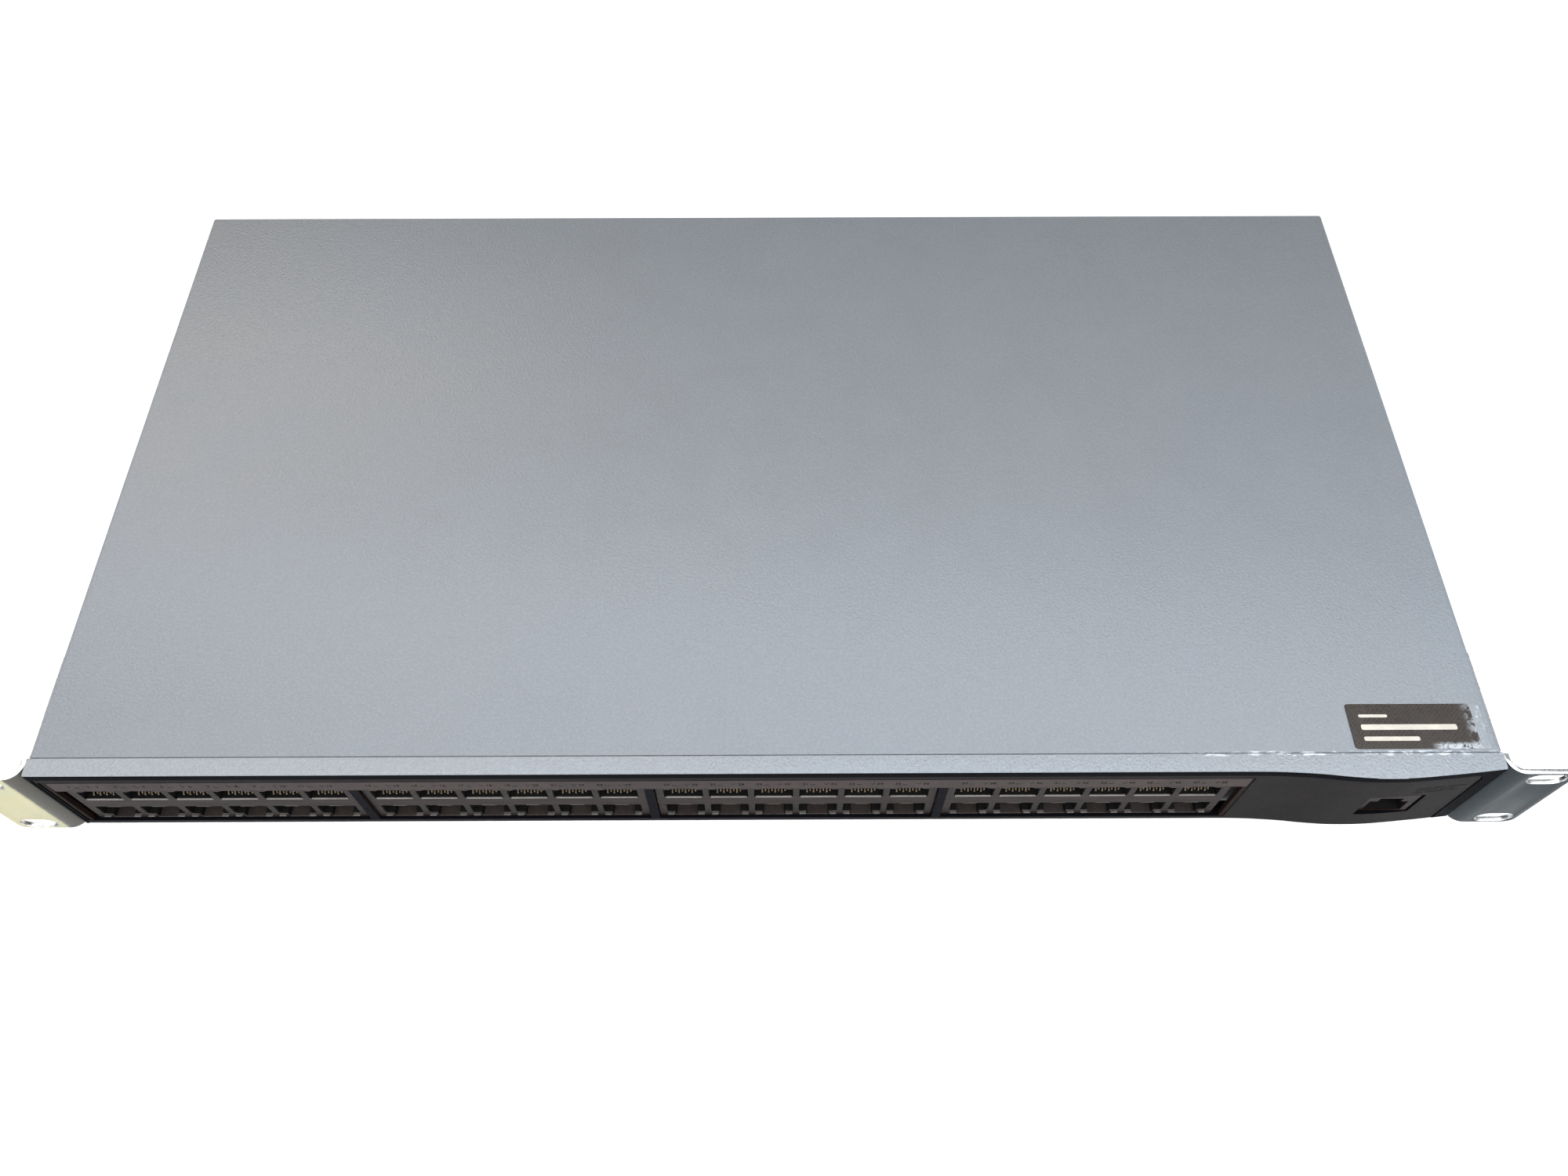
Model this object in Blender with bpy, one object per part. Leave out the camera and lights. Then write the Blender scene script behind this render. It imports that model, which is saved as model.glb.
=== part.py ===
"""1U rackmount network switch, 48 RJ45 ports: every separate piece as its own object.

Frame: origin at the bottom centre of the bounding box, +X to the right as seen from the front,
+Y to the back, +Z up. Lengths below are in millimetres and turned into metres as the meshes are made.
Inside this file Y is counted from the front rim of the bezel; Y_RIM puts that plane in the frame.
"""

import bmesh
import bpy
from math import cos, pi, radians, sin, sqrt
from mathutils import Matrix, Vector

# ---------------------------------------------------------------- driving dimensions (mm)
WIDTH = 440.0            # cover and bezel
HEIGHT = 43.6            # top face of the cover above the surface it stands on
BACK = 235.7             # outer face of the rear panel behind the bezel rim
BULGE = 2.3              # the bezel's forward swell at the right end
REAR_MOST = 238.1        # crown of the earthing screw
EAR_SPAN = 482.6         # outer edge to outer edge of the two rack ears
SHEET = 1.0              # chassis and cover steel
EAR_SHEET = 1.5
SEAM = 5.8               # depth of the bezel's top lip

PORT_PITCH = 14.0
GROUP_PITCH = 90.2
GROUP_X = [-171.3 + GROUP_PITCH * i for i in range(4)]
BLOCK_HALF = 43.4
JACK_FRONT = 1.2
JACK_BACK = 27.0
JACK_Z = (5.95, 31.5)
UPPER_FLOOR = 21.2       # lower edge of the upper row's openings
LOWER_CEILING = 15.5     # upper edge of the lower row's openings
PORT_W, PORT_H = 12.0, 6.7
NOTCH_W, NOTCH_H = 7.0, 2.4
PORT_DEPTH = 12.5

PCB_Z = (4.0, 5.6)
FAN_Y = (150.0, 196.0)
FAN_Z = 21.8
FAN_X = (196.4, 216.4)
FAN_BORE = 18.9
EAR_Z = (2.6, 43.2)
BEZEL_BOTTOM = 3.6
EAR_BEND = 5.5           # outer radius of the ear's bend
SLOT_X = 233.6
SLOT_Z = (6.8, 38.55)
SLOT_LEN, SLOT_H = 11.8, 6.8
EAR_SCREWS = [(18.0, 12.0), (38.0, 12.0), (18.0, 33.0), (38.0, 33.0)]
COVER_SCREWS = [(78.0, 4.3), (214.0, 4.3)]

Y_RIM = -(REAR_MOST - BULGE) / 2.0
MM = 0.001

for old in list(bpy.data.objects):
    bpy.data.objects.remove(old, do_unlink=True)


# ---------------------------------------------------------------- materials
def material(name, rgb, rough, metal=0.0, alpha=1.0):
    m = bpy.data.materials.new(name)
    m.use_nodes = True
    b = m.node_tree.nodes["Principled BSDF"]
    b.inputs["Base Color"].default_value = (*rgb, 1.0)
    b.inputs["Roughness"].default_value = rough
    b.inputs["Metallic"].default_value = metal
    b.inputs["Alpha"].default_value = alpha
    m.diffuse_color = (*rgb, 1.0)
    return m


POWDER = material("powder_coat", (0.105, 0.128, 0.150), 0.5)
BEZEL = material("bezel_plastic", (0.060, 0.066, 0.074), 0.55)
PANEL = material("panel_plastic", (0.075, 0.070, 0.068), 0.5)
ZINC = material("zinc_steel", (0.62, 0.63, 0.62), 0.38, 1.0)
SHIELD = material("jack_shield_steel", (0.45, 0.43, 0.42), 0.35, 1.0)
BLACK = material("black_nylon", (0.018, 0.018, 0.020), 0.55)
CLEAR = material("light_pipe", (0.75, 0.78, 0.76), 0.15)
BOARD = material("solder_mask", (0.02, 0.12, 0.06), 0.4)
PSU_BOARD = material("psu_board", (0.30, 0.22, 0.08), 0.55)
CHIP = material("chip_epoxy", (0.025, 0.025, 0.028), 0.6)
ALU = material("anodised_aluminium", (0.07, 0.07, 0.08), 0.4, 1.0)
TAPE = material("transformer_tape", (0.70, 0.52, 0.10), 0.5)
SLEEVE = material("capacitor_sleeve", (0.03, 0.05, 0.12), 0.35)
FILM = material("insulating_film", (0.55, 0.56, 0.55), 0.35)
PIN = material("nickel_pin", (0.66, 0.63, 0.58), 0.3, 1.0)
WIRE = material("wire_jacket", (0.05, 0.05, 0.055), 0.5)
EARPAINT = material("ear_paint", (0.070, 0.090, 0.096), 0.42)
SCREW = material("screw_zinc", (0.58, 0.58, 0.56), 0.35, 1.0)
LABEL = material("label_stock", (0.055, 0.042, 0.034), 0.45)


# ---------------------------------------------------------------- mesh helpers
def metres(x, y, z):
    return Vector((x * MM, (y + Y_RIM) * MM, z * MM))


AXES = {"x": (1, 2, 0), "y": (0, 2, 1), "z": (0, 1, 2)}


def add_prism(bm, outline, axis, low, high, at=(0, 0, 0)):
    """A closed prism: outline is a list of pairs in the plane square to axis, in mm."""
    ia, ib, ic = AXES[axis]
    rings = []
    for level in (low, high):
        ring = []
        for a, b in outline:
            p = [0.0, 0.0, 0.0]
            p[ia], p[ib], p[ic] = a + at[ia], b + at[ib], level + at[ic]
            ring.append(bm.verts.new(Vector(p) * MM))
        rings.append(ring)
    made = [bm.faces.new(rings[0]), bm.faces.new(rings[1])]
    n = len(outline)
    for i in range(n):
        made.append(bm.faces.new((rings[0][i], rings[0][(i + 1) % n], rings[1][(i + 1) % n], rings[1][i])))
    bmesh.ops.recalc_face_normals(bm, faces=made)
    return made


def add_box(bm, x, y, z):
    return add_prism(bm, [(x[0], y[0]), (x[1], y[0]), (x[1], y[1]), (x[0], y[1])], "z", z[0], z[1])


def circle(cx, cy, r, n, start=0.0):
    return [(cx + r * cos(start + 2 * pi * i / n), cy + r * sin(start + 2 * pi * i / n)) for i in range(n)]


def slot_outline(cx, cy, length, height, n=5):
    r, half = height / 2, length / 2 - height / 2
    right = [(cx + half + r * sin(pi * i / n), cy - r * cos(pi * i / n)) for i in range(n + 1)]
    left = [(cx - half - r * sin(pi * i / n), cy + r * cos(pi * i / n)) for i in range(n + 1)]
    return right + left


def place(name, bm, mat, at=(0, 0, 0), parent=None, mesh=None):
    """Makes the object. at is its origin in mm, Y counted from the bezel rim; its mesh is in local mm."""
    if mesh is None:
        mesh = bpy.data.meshes.new(name)
        bm.to_mesh(mesh)
        bm.free()
        mesh.materials.append(mat)
    obj = bpy.data.objects.new(name, mesh)
    bpy.context.scene.collection.objects.link(obj)
    if parent is None:
        obj.location = metres(*at)
    else:
        obj.parent = parent
        obj.location = Vector(at) * MM
    return obj


def helper(name, bm, at=(0, 0, 0)):
    obj = place(name, bm, CHIP, at)
    obj.hide_render = True
    obj.display_type = "WIRE"
    return obj


def boolean(obj, other, operation="DIFFERENCE"):
    m = obj.modifiers.new(other.name, "BOOLEAN")
    m.operation, m.solver, m.object = operation, "EXACT", other
    return m


def new():
    return bmesh.new()


def empty(name, at):
    e = bpy.data.objects.new(name, None)
    e.empty_display_size = 0.01
    bpy.context.scene.collection.objects.link(e)
    e.location = metres(*at)
    return e


# ---------------------------------------------------------------- front curve of the bezel
CURVE = [(-220, 0.0), (-60, 0.0), (140, 0.0), (150, -0.06), (156, -0.26), (165, -0.85), (172, -1.60), (179, -2.16),
         (186, -2.30), (193, -2.14), (202, -1.42), (211, -0.55), (220, 0.45)]


def front_curve(offset=0.0):
    return [(x, y + offset) for x, y in CURVE]


def rim_y(x):
    for (x0, y0), (x1, y1) in zip(CURVE, CURVE[1:]):
        if x <= x1:
            return y0 + (y1 - y0) * (x - x0) / (x1 - x0)
    return CURVE[-1][1]


# ---------------------------------------------------------------- chassis base: floor, front, rear and low side flanges
bm = new()
add_box(bm, (-218.7, 218.7), (6.6, BACK), (0.0, 42.3))
base = place("chassis_base", bm, POWDER)

bm = new()
add_box(bm, (-217.7, 217.7), (7.6, BACK - SHEET), (SHEET, 60.0))
base_hollow = helper("cut_base_hollow", bm)
boolean(base, base_hollow)

bm = new()
add_box(bm, (-240, -210), (7.6, BACK - SHEET), (7.2, 60))                    # low left flange
add_box(bm, (210, 240), (7.6, 124.0), (7.2, 60))                             # low right flange before the fans
add_box(bm, (210, 240), (222.0, BACK - SHEET), (7.2, 60))
boolean(base, helper("cut_base_flanges", bm))

bm = new()
add_box(bm, (-215.2, 143.3), (0, 8.6), (5.3, 32.4))                          # window for the four jack blocks
add_box(bm, (185.6, 203.2), (0, 8.6), (5.3, 27.0))                           # window for the console jack
add_box(bm, (-179.3, -150.7), (BACK - 8, BACK + 8), (11.4, 32.2))            # power inlet cut-out
add_prism(bm, circle(-110.0, 16.0, 2.2, 12), "y", BACK - 8, BACK + 8)       # earthing screw
for fy in FAN_Y:
    add_prism(bm, circle(fy, FAN_Z, 18.4, 28), "x", 210, 240)
for side in (-1, 1):
    for sy, sz in COVER_SCREWS:
        lo, hi = sorted((side * 215.0, side * 225.0))
        add_prism(bm, circle(sy, sz, 1.75, 12), "x", lo, hi)
base_cuts = helper("cut_base_openings", bm)
boolean(base, base_cuts)

# ---------------------------------------------------------------- top cover: one folded sheet, open below
R = 1.6
outer = [(-220.0, 0.6)]
for i in range(4):
    a = pi - (pi / 2) * i / 3
    outer.append((-220 + R + R * cos(a), HEIGHT - R + R * sin(a)))
for i in range(4):
    a = pi / 2 - (pi / 2) * i / 3
    outer.append((220 - R + R * cos(a), HEIGHT - R + R * sin(a)))
outer.append((220.0, 0.6))
inner = [(219.0, 0.6), (219.0, HEIGHT - R), (218.4, HEIGHT - SHEET), (-218.4, HEIGHT - SHEET), (-219.0, HEIGHT - R), (-219.0, 0.6)]
bm = new()
add_prism(bm, outer + inner, "y", SEAM + 0.15, BACK)
cover = place("top_cover", bm, POWDER)

VENT_COLUMNS = [128.0 + 5.2 * i for i in range(18)]
VENT_ROWS = [(8.6, 20.0), (23.4, 34.8)]
bm = new()
for column in VENT_COLUMNS:
    for lo, hi in VENT_ROWS:
        add_box(bm, (215.0, 225.0), (column - 1.3, column + 1.3), (lo, hi))
        add_box(bm, (-225.0, -215.0), (column - 1.3, column + 1.3), (lo, hi))
for side in (-1, 1):
    for sy, sz in EAR_SCREWS:
        lo, hi = sorted((side * 215.0, side * 225.0))
        add_prism(bm, circle(sy, sz, 2.2, 12), "x", lo, hi)
    for sy, sz in COVER_SCREWS:
        lo, hi = sorted((side * 215.0, side * 225.0))
        add_prism(bm, circle(sy, sz, 1.75, 12), "x", lo, hi)
cover_cuts = helper("cut_cover_openings", bm)
boolean(cover, cover_cuts)

# ---------------------------------------------------------------- front bezel: moulded shell that follows the curve
bm = new()
add_prism(bm, front_curve() + [(220, SEAM), (-220, SEAM)], "z", BEZEL_BOTTOM, HEIGHT)
bezel = place("front_bezel", bm, BEZEL)

bm = new()   # hollow behind the face
add_prism(bm, [(max(-218.2, min(218.2, x)), y + 2.3) for x, y in CURVE] + [(218.2, 12), (-218.2, 12)], "z", BEZEL_BOTTOM + 1.3, 42.0)
bezel_hollow = helper("cut_bezel_hollow", bm)
boolean(bezel, bezel_hollow)

bm = new()   # shallow sunk face inside the rim, curved like the rim
face_x = (-219.3, 215.2)
curve_in = [(face_x[0], rim_y(face_x[0]) + 0.45)] + [(x, y + 0.45) for x, y in CURVE if face_x[0] < x < face_x[1]] + [(face_x[1], rim_y(face_x[1]) + 0.45)]
add_prism(bm, curve_in + [(face_x[1], -12), (face_x[0], -12)], "z", 2.0, 40.0)
bezel_face = helper("cut_bezel_face", bm)
bm = new()   # rounds that sunk face's right corners
corner = 3.4
outline = [(-230, 0.0), (face_x[1] + 1, 0.0)]
outline += [(face_x[1] + 1, 40.0 - corner), (face_x[1], 40.0 - corner)]
outline += [(face_x[1] - corner + corner * cos(a), 40.0 - corner + corner * sin(a)) for a in (pi / 6, pi / 3)]
outline += [(face_x[1] - corner, 40.5), (-230, 40.5)]
add_prism(bm, outline, "y", -20, 20)
face_round = helper("limit_bezel_face", bm)
boolean(bezel_face, face_round, "INTERSECT")
boolean(bezel, bezel_face)

bm = new()   # the port window and the console window
add_box(bm, (-218.9, 147.4), (-12, 12), (5.5, 37.6))
add_box(bm, (185.3, 203.1), (-12, 12), (12.6, 27.0))
add_prism(bm, [(-12, 40.5), (0.02, 43.65), (-12, 43.65)], "x", -230, 230)
bezel_cuts = helper("cut_bezel_windows", bm)
boolean(bezel, bezel_cuts)

# ---------------------------------------------------------------- port panel: the insert with the four windows and LED holes
bm = new()
add_box(bm, (-218.1, 147.15), (0.35, 2.0), (5.75, 37.35))
panel = place("port_panel", bm, PANEL)
BAR = 1.4                # half the width of the bars between the four groups
WINDOW_TOP = 30.4
bm = new()
middles = [(a + b) / 2 for a, b in zip(GROUP_X, GROUP_X[1:])]
edges = [-216.9] + [m + side * BAR for m in middles for side in (-1, 1)] + [145.5]
for x0, x1 in zip(edges[::2], edges[1::2]):
    add_box(bm, (x0, x1), (-8, 12), (2.0, WINDOW_TOP))
panel_windows = helper("cut_panel_windows", bm)
boolean(panel, panel_windows)
bm = new()               # relief behind the windows' upper edge, where the jack shields reach up
add_box(bm, (-215.6, 143.7), (0.9, 12), (25.0, 31.9))
panel_relief = helper("cut_panel_relief", bm)
boolean(panel, panel_relief)
bm = new()
LED_Z = 34.4
LED = []   # (x, points up)
for gx in GROUP_X:
    for c in range(6):
        cx = gx + PORT_PITCH * (c - 2.5)
        LED += [(cx - 2.0, True), (cx + 2.0, False)]


def triangle(cx, cz, size, up):
    s = 1 if up else -1
    return [(cx - size / 2, cz - s * size * 0.42), (cx + size / 2, cz - s * size * 0.42), (cx, cz + s * size * 0.46)]


for x, up in LED:
    add_prism(bm, triangle(x, LED_Z, 1.7, up), "y", -8, 12)
boolean(panel, helper("cut_panel_lights", bm))

# ---------------------------------------------------------------- light pipes: one moulded comb behind each group
for g, gx in enumerate(GROUP_X):
    bm = new()
    add_box(bm, (-39.5, 39.5), (2.5, 4.5), (33.0, 35.8))
    pipe = place(f"light_pipe_{g + 1}", bm, CLEAR, (gx, 0, 0))
    bm = new()
    for x, up in LED[g * 12:(g + 1) * 12]:
        add_prism(bm, triangle(x - gx, LED_Z, 1.35, up), "y", 0.30, 3.2)
    tips = helper(f"add_light_tips_{g + 1}", bm, (gx, 0, 0))
    boolean(pipe, tips, "UNION")


# ---------------------------------------------------------------- RJ45 jack blocks
def port_outline(cx, up, grow=0.0):
    """The keyhole of one RJ45 port in the front view; up is true for the upper row, latch on top."""
    w, n = PORT_W / 2 + grow, NOTCH_W / 2 + grow
    if up:
        z0, z1, z2 = UPPER_FLOOR - grow, UPPER_FLOOR + PORT_H + grow, UPPER_FLOOR + PORT_H + NOTCH_H + grow
    else:
        z0, z1, z2 = LOWER_CEILING + grow, LOWER_CEILING - PORT_H - grow, LOWER_CEILING - PORT_H - NOTCH_H + grow * 0
    return [(cx - w, z0), (cx + w, z0), (cx + w, z1), (cx + n, z1), (cx + n, z2), (cx - n, z2), (cx - n, z1), (cx - w, z1)]


bm = new()
for c in range(6):
    cx = PORT_PITCH * (c - 2.5)
    for up in (True, False):
        add_prism(bm, port_outline(cx, up), "y", -5, JACK_FRONT + PORT_DEPTH)
jack_cavities = helper("cut_jack_cavities", bm)

block_mesh = None
for g, gx in enumerate(GROUP_X):
    if block_mesh is None:
        bm = new()
        add_box(bm, (-BLOCK_HALF + 0.4, BLOCK_HALF - 0.4), (JACK_FRONT + 0.4, JACK_BACK - 0.4), (JACK_Z[0], JACK_Z[1] - 0.4))
        block = place(f"jack_block_{g + 1}", bm, BLACK, (gx, 0, 0))
        block_mesh = block.data
    else:
        block = place(f"jack_block_{g + 1}", None, BLACK, (gx, 0, 0), mesh=block_mesh)
    cavities = place(f"cut_jack_cavities_{g + 1}", None, BLACK, (gx, 0, 0), mesh=jack_cavities.data)
    cavities.hide_render, cavities.display_type = True, "WIRE"
    boolean(block, cavities)

# sheet-metal shield: front, top, both ends and back, open below
bm = new()
for c in range(6):
    cx = PORT_PITCH * (c - 2.5)
    for up in (True, False):
        add_prism(bm, port_outline(cx, up, 0.12), "y", -5, 6)
shield_port_mesh = helper("cut_shield_ports", bm).data
bm = new()
add_box(bm, (-BLOCK_HALF + 0.28, BLOCK_HALF - 0.28), (JACK_FRONT + 0.28, JACK_BACK - 0.28), (0, JACK_Z[1] - 0.28))
shield_inner_mesh = helper("cut_shield_inner", bm).data
shield_mesh = None
for g, gx in enumerate(GROUP_X):
    if shield_mesh is None:
        bm = new()
        add_box(bm, (-BLOCK_HALF, BLOCK_HALF), (JACK_FRONT, JACK_BACK), (JACK_Z[0], JACK_Z[1]))
        shield = place(f"jack_shield_{g + 1}", bm, SHIELD, (gx, 0, 0))
        shield_mesh = shield.data
    else:
        shield = place(f"jack_shield_{g + 1}", None, SHIELD, (gx, 0, 0), mesh=shield_mesh)
    for word, mesh in (("inner", shield_inner_mesh), ("ports", shield_port_mesh)):
        cutter = place(f"cut_shield_{word}_{g + 1}", None, SHIELD, (gx, 0, 0), mesh=mesh)
        cutter.hide_render, cutter.display_type = True, "WIRE"
        boolean(shield, cutter)

# ---------------------------------------------------------------- console jack at the right
CON_X = 194.2
CON_Z = (5.95, 26.2)
CON_NOSE = 12.95         # underside of the jack's nose, which reaches through the bezel's window
CON_FRONT = -0.8
CON_FLOOR = 13.9
con_port = [(CON_X - 5.9, CON_FLOOR), (CON_X + 5.9, CON_FLOOR), (CON_X + 5.9, CON_FLOOR + 6.7), (CON_X + 3.5, CON_FLOOR + 6.7),
            (CON_X + 3.5, CON_FLOOR + 9.0), (CON_X - 3.5, CON_FLOOR + 9.0), (CON_X - 3.5, CON_FLOOR + 6.7), (CON_X - 5.9, CON_FLOOR + 6.7)]
bm = new()
add_box(bm, (CON_X - 7.5, CON_X + 7.5), (1.9, 20.4), (CON_Z[0], CON_Z[1] - 0.5))
console = place("console_jack", bm, BLACK)
bm = new()
add_box(bm, (CON_X - 7.5, CON_X + 7.5), (CON_FRONT + 0.4, 3.0), (CON_NOSE + 0.4, CON_Z[1] - 0.5))
boolean(console, helper("add_console_nose", bm), "UNION")
bm = new()
add_prism(bm, con_port, "y", -10, 13.5)
boolean(console, helper("cut_console_cavity", bm))
bm = new()
add_box(bm, (CON_X - 7.95, CON_X + 7.95), (1.5, 20.8), (CON_Z[0], CON_Z[1]))
console_shield = place("console_shield", bm, SHIELD)
bm = new()
add_box(bm, (CON_X - 7.95, CON_X + 7.95), (CON_FRONT, 3.0), (CON_NOSE, CON_Z[1]))
boolean(console_shield, helper("add_console_shield_nose", bm), "UNION")
bm = new()
add_box(bm, (CON_X - 7.65, CON_X + 7.65), (1.8, 20.5), (0, CON_Z[1] - 0.3))
boolean(console_shield, helper("cut_console_shield_inner", bm))
bm = new()
add_box(bm, (CON_X - 7.65, CON_X + 7.65), (CON_FRONT + 0.3, 4.0), (CON_NOSE + 0.3, CON_Z[1] - 0.3))
boolean(console_shield, helper("cut_console_shield_nose", bm))
bm = new()
add_prism(bm, [(x + (0.12 if x > CON_X else -0.12), z) for x, z in con_port], "y", -10, 6)
boolean(console_shield, helper("cut_console_shield_port", bm))

# ---------------------------------------------------------------- main board with its headers and standoffs
bm = new()
add_prism(bm, [(-214.5, 7.9), (214.5, 7.9), (214.5, 122.0), (193.0, 126.0), (193.0, 226.0), (-92.0, 226.0), (-92.0, 124.0), (-214.5, 124.0)], "z", *PCB_Z)
pcb = place("main_pcb", bm, BOARD)
bm = new()
for x, y in ((-200, 60), (-70, 116), (60, 60), (200, 60), (-80, 215), (180, 215)):
    add_prism(bm, circle(x, y, 3.0, 10), "z", SHEET + 0.05, PCB_Z[0] + 0.6)      # standoffs under the board
add_box(bm, (-88.0, -76.0), (140.0, 165.0), (PCB_Z[1] - 0.5, PCB_Z[1] + 8.5))   # DC input header
add_box(bm, (184.0, 191.0), (138.0, 146.0), (PCB_Z[1] - 0.5, PCB_Z[1] + 6.0))   # fan headers
add_box(bm, (184.0, 191.0), (184.0, 192.0), (PCB_Z[1] - 0.5, PCB_Z[1] + 6.0))
boolean(pcb, helper("add_pcb_headers", bm), "UNION")


def chip(name, cx, cy, w, d, h, mat=CHIP):
    b = new()
    add_box(b, (-w / 2, w / 2), (-d / 2, d / 2), (0, h))
    return place(name, b, mat, (cx, cy, PCB_Z[1] + 0.05))


chip("switch_asic", 40.0, 82.0, 35.0, 35.0, 3.0)
for i in range(3):
    chip(f"phy_chip_{i + 1}", -130.0 + 90.0 * i + (90.0 if i == 2 else 0.0), 56.0, 24.0, 24.0, 1.6)
chip("cpu_chip", 110.0, 150.0, 27.0, 27.0, 2.2)
chip("memory_chip", 150.0, 150.0, 11.0, 19.0, 1.2)


def heatsink(name, cx, cy, w, d, base_h, height, fins, z):
    profile = [(-w / 2, 0), (w / 2, 0)]
    step = (w - 1.4) / (fins - 1)
    points = []
    for i in range(fins):
        x0 = w / 2 - i * step
        points += [(x0, height), (x0 - 1.4, height)]
        if i < fins - 1:
            points += [(x0 - 1.4, base_h), (x0 - step, base_h)]
    b = new()
    add_prism(b, profile + points, "y", -d / 2, d / 2)
    return place(name, b, ALU, (cx, cy, z))


heatsink("asic_heatsink", 40.0, 82.0, 52.0, 52.0, 3.0, 16.0, 9, PCB_Z[1] + 3.15)

# ---------------------------------------------------------------- power supply, behind the inlet
bm = new()
add_box(bm, (-213.0, -98.0), (130.0, 208.0), (1.45, 1.75))
film = place("psu_insulating_film", bm, FILM)
bm = new()
add_box(bm, (-211.0, -100.0), (131.5, 206.5), (6.0, 7.6))
psu = place("psu_pcb", bm, PSU_BOARD)
bm = new()
for x, y in ((-206, 137), (-105, 137), (-206, 201), (-105, 201)):
    add_prism(bm, circle(x, y, 3.0, 10), "z", 1.85, 6.5)
add_box(bm, (-112.0, -102.0), (150.0, 172.0), (7.2, 16.0))                        # output header
boolean(psu, helper("add_psu_standoffs", bm), "UNION")
bm = new()
add_box(bm, (-15, 15), (-13, 13), (0, 3.5))
transformer = place("psu_transformer", bm, TAPE, (-142.0, 168.0, 7.7))
bm = new()
add_box(bm, (-11.5, 11.5), (-14, 14), (3.0, 21.5))
boolean(transformer, helper("add_transformer_winding", bm, (-142.0, 168.0, 7.7)), "UNION")
bm = new()
add_box(bm, (-16, 16), (-6.5, 6.5), (2.0, 24.5))
boolean(transformer, helper("add_transformer_core", bm, (-142.0, 168.0, 7.7)), "UNION")
bm = new()
add_prism(bm, circle(0, 0, 9.0, 24), "z", 0.0, 27.0)
place("psu_bulk_capacitor", bm, SLEEVE, (-185.0, 184.0, 7.7))
heatsink("psu_heatsink", -185.0, 150.0, 40.0, 12.0, 3.0, 20.0, 6, 7.7)

# ---------------------------------------------------------------- power inlet with its three pins
IN_X, IN_Z = -165.0, 21.8
bm = new()
add_box(bm, (-15.6, 15.6), (BACK + 0.15, BACK + 1.75), (-12.0, 12.0))
inlet = place("ac_inlet", bm, BLACK, (IN_X, 0, IN_Z))
bm = new()
add_box(bm, (-14.0, 14.0), (BACK - 22.0, BACK + 1.0), (-10.1, 10.1))
boolean(inlet, helper("add_inlet_body", bm, (IN_X, 0, IN_Z)), "UNION")
bm = new()
add_prism(bm, [(-12.2, -8.2), (12.2, -8.2), (12.2, 4.2), (8.2, 8.2), (-8.2, 8.2), (-12.2, 4.2)], "y", BACK - 15.5, BACK + 8)
boolean(inlet, helper("cut_inlet_socket", bm, (IN_X, 0, IN_Z)))
bm = new()
for px, pz in ((-7.0, -2.0), (7.0, -2.0), (0.0, 2.0)):
    add_box(bm, (px - 1.35, px + 1.35), (BACK - 40, BACK - 10), (pz - 2.35, pz + 2.35))
boolean(inlet, helper("cut_inlet_pin_holes", bm, (IN_X, 0, IN_Z)))
for name, px, pz in (("inlet_pin_line", -7.0, -2.0), ("inlet_pin_neutral", 7.0, -2.0), ("inlet_pin_earth", 0.0, 2.0)):
    bm = new()
    add_prism(bm, [(-1, BACK - 27), (1, BACK - 27), (1, BACK - 4.6), (0.4, BACK - 3.4), (-0.4, BACK - 3.4), (-1, BACK - 4.6)], "z", -2.0, 2.0)
    place(name, bm, PIN, (IN_X + px, 0, IN_Z + pz))

# ---------------------------------------------------------------- two side fans
frame_mesh = None
for n, fy in enumerate(FAN_Y):
    cx = (FAN_X[0] + FAN_X[1]) / 2
    half = (FAN_X[1] - FAN_X[0]) / 2
    bm = new()
    add_box(bm, (-half, half), (-20, 20), (-20, 20))
    fan = place(f"fan_frame_{n + 1}", bm, BLACK, (cx, fy, FAN_Z))
    bm = new()
    add_prism(bm, circle(0, 0, FAN_BORE, 32), "x", -half - 5, half + 5)
    for a in (-16, 16):
        for b in (-16, 16):
            add_prism(bm, circle(a, b, 1.8, 8), "x", -half - 5, half + 5)
    boolean(fan, helper(f"cut_fan_bore_{n + 1}", bm, (cx, fy, FAN_Z)))
    bm = new()   # motor plate on four struts, with the bearing tube standing on it
    add_prism(bm, circle(0, 0, 8.6, 24), "x", -half, -half + 2.2)
    motor = helper(f"add_fan_motor_{n + 1}", bm, (cx, fy, FAN_Z))
    bm = new()
    add_prism(bm, circle(0, 0, 2.2, 12), "x", -half + 1.2, half - 5.0)
    tube = helper(f"add_fan_tube_{n + 1}", bm, (cx, fy, FAN_Z))
    boolean(motor, tube, "UNION")
    bm = new()
    for k in range(4):
        a = radians(20 + 90 * k)
        ux, uz = cos(a), sin(a)
        w = 1.1
        add_prism(bm, [(ux * 7 - uz * w, uz * 7 + ux * w), (ux * 7 + uz * w, uz * 7 - ux * w),
                       (ux * 19.6 + uz * w, uz * 19.6 - ux * w), (ux * 19.6 - uz * w, uz * 19.6 + ux * w)], "x", -half + 0.05, -half + 1.9)
    struts = helper(f"add_fan_struts_{n + 1}", bm, (cx, fy, FAN_Z))
    boolean(motor, struts, "UNION")
    boolean(fan, motor, "UNION")

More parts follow.
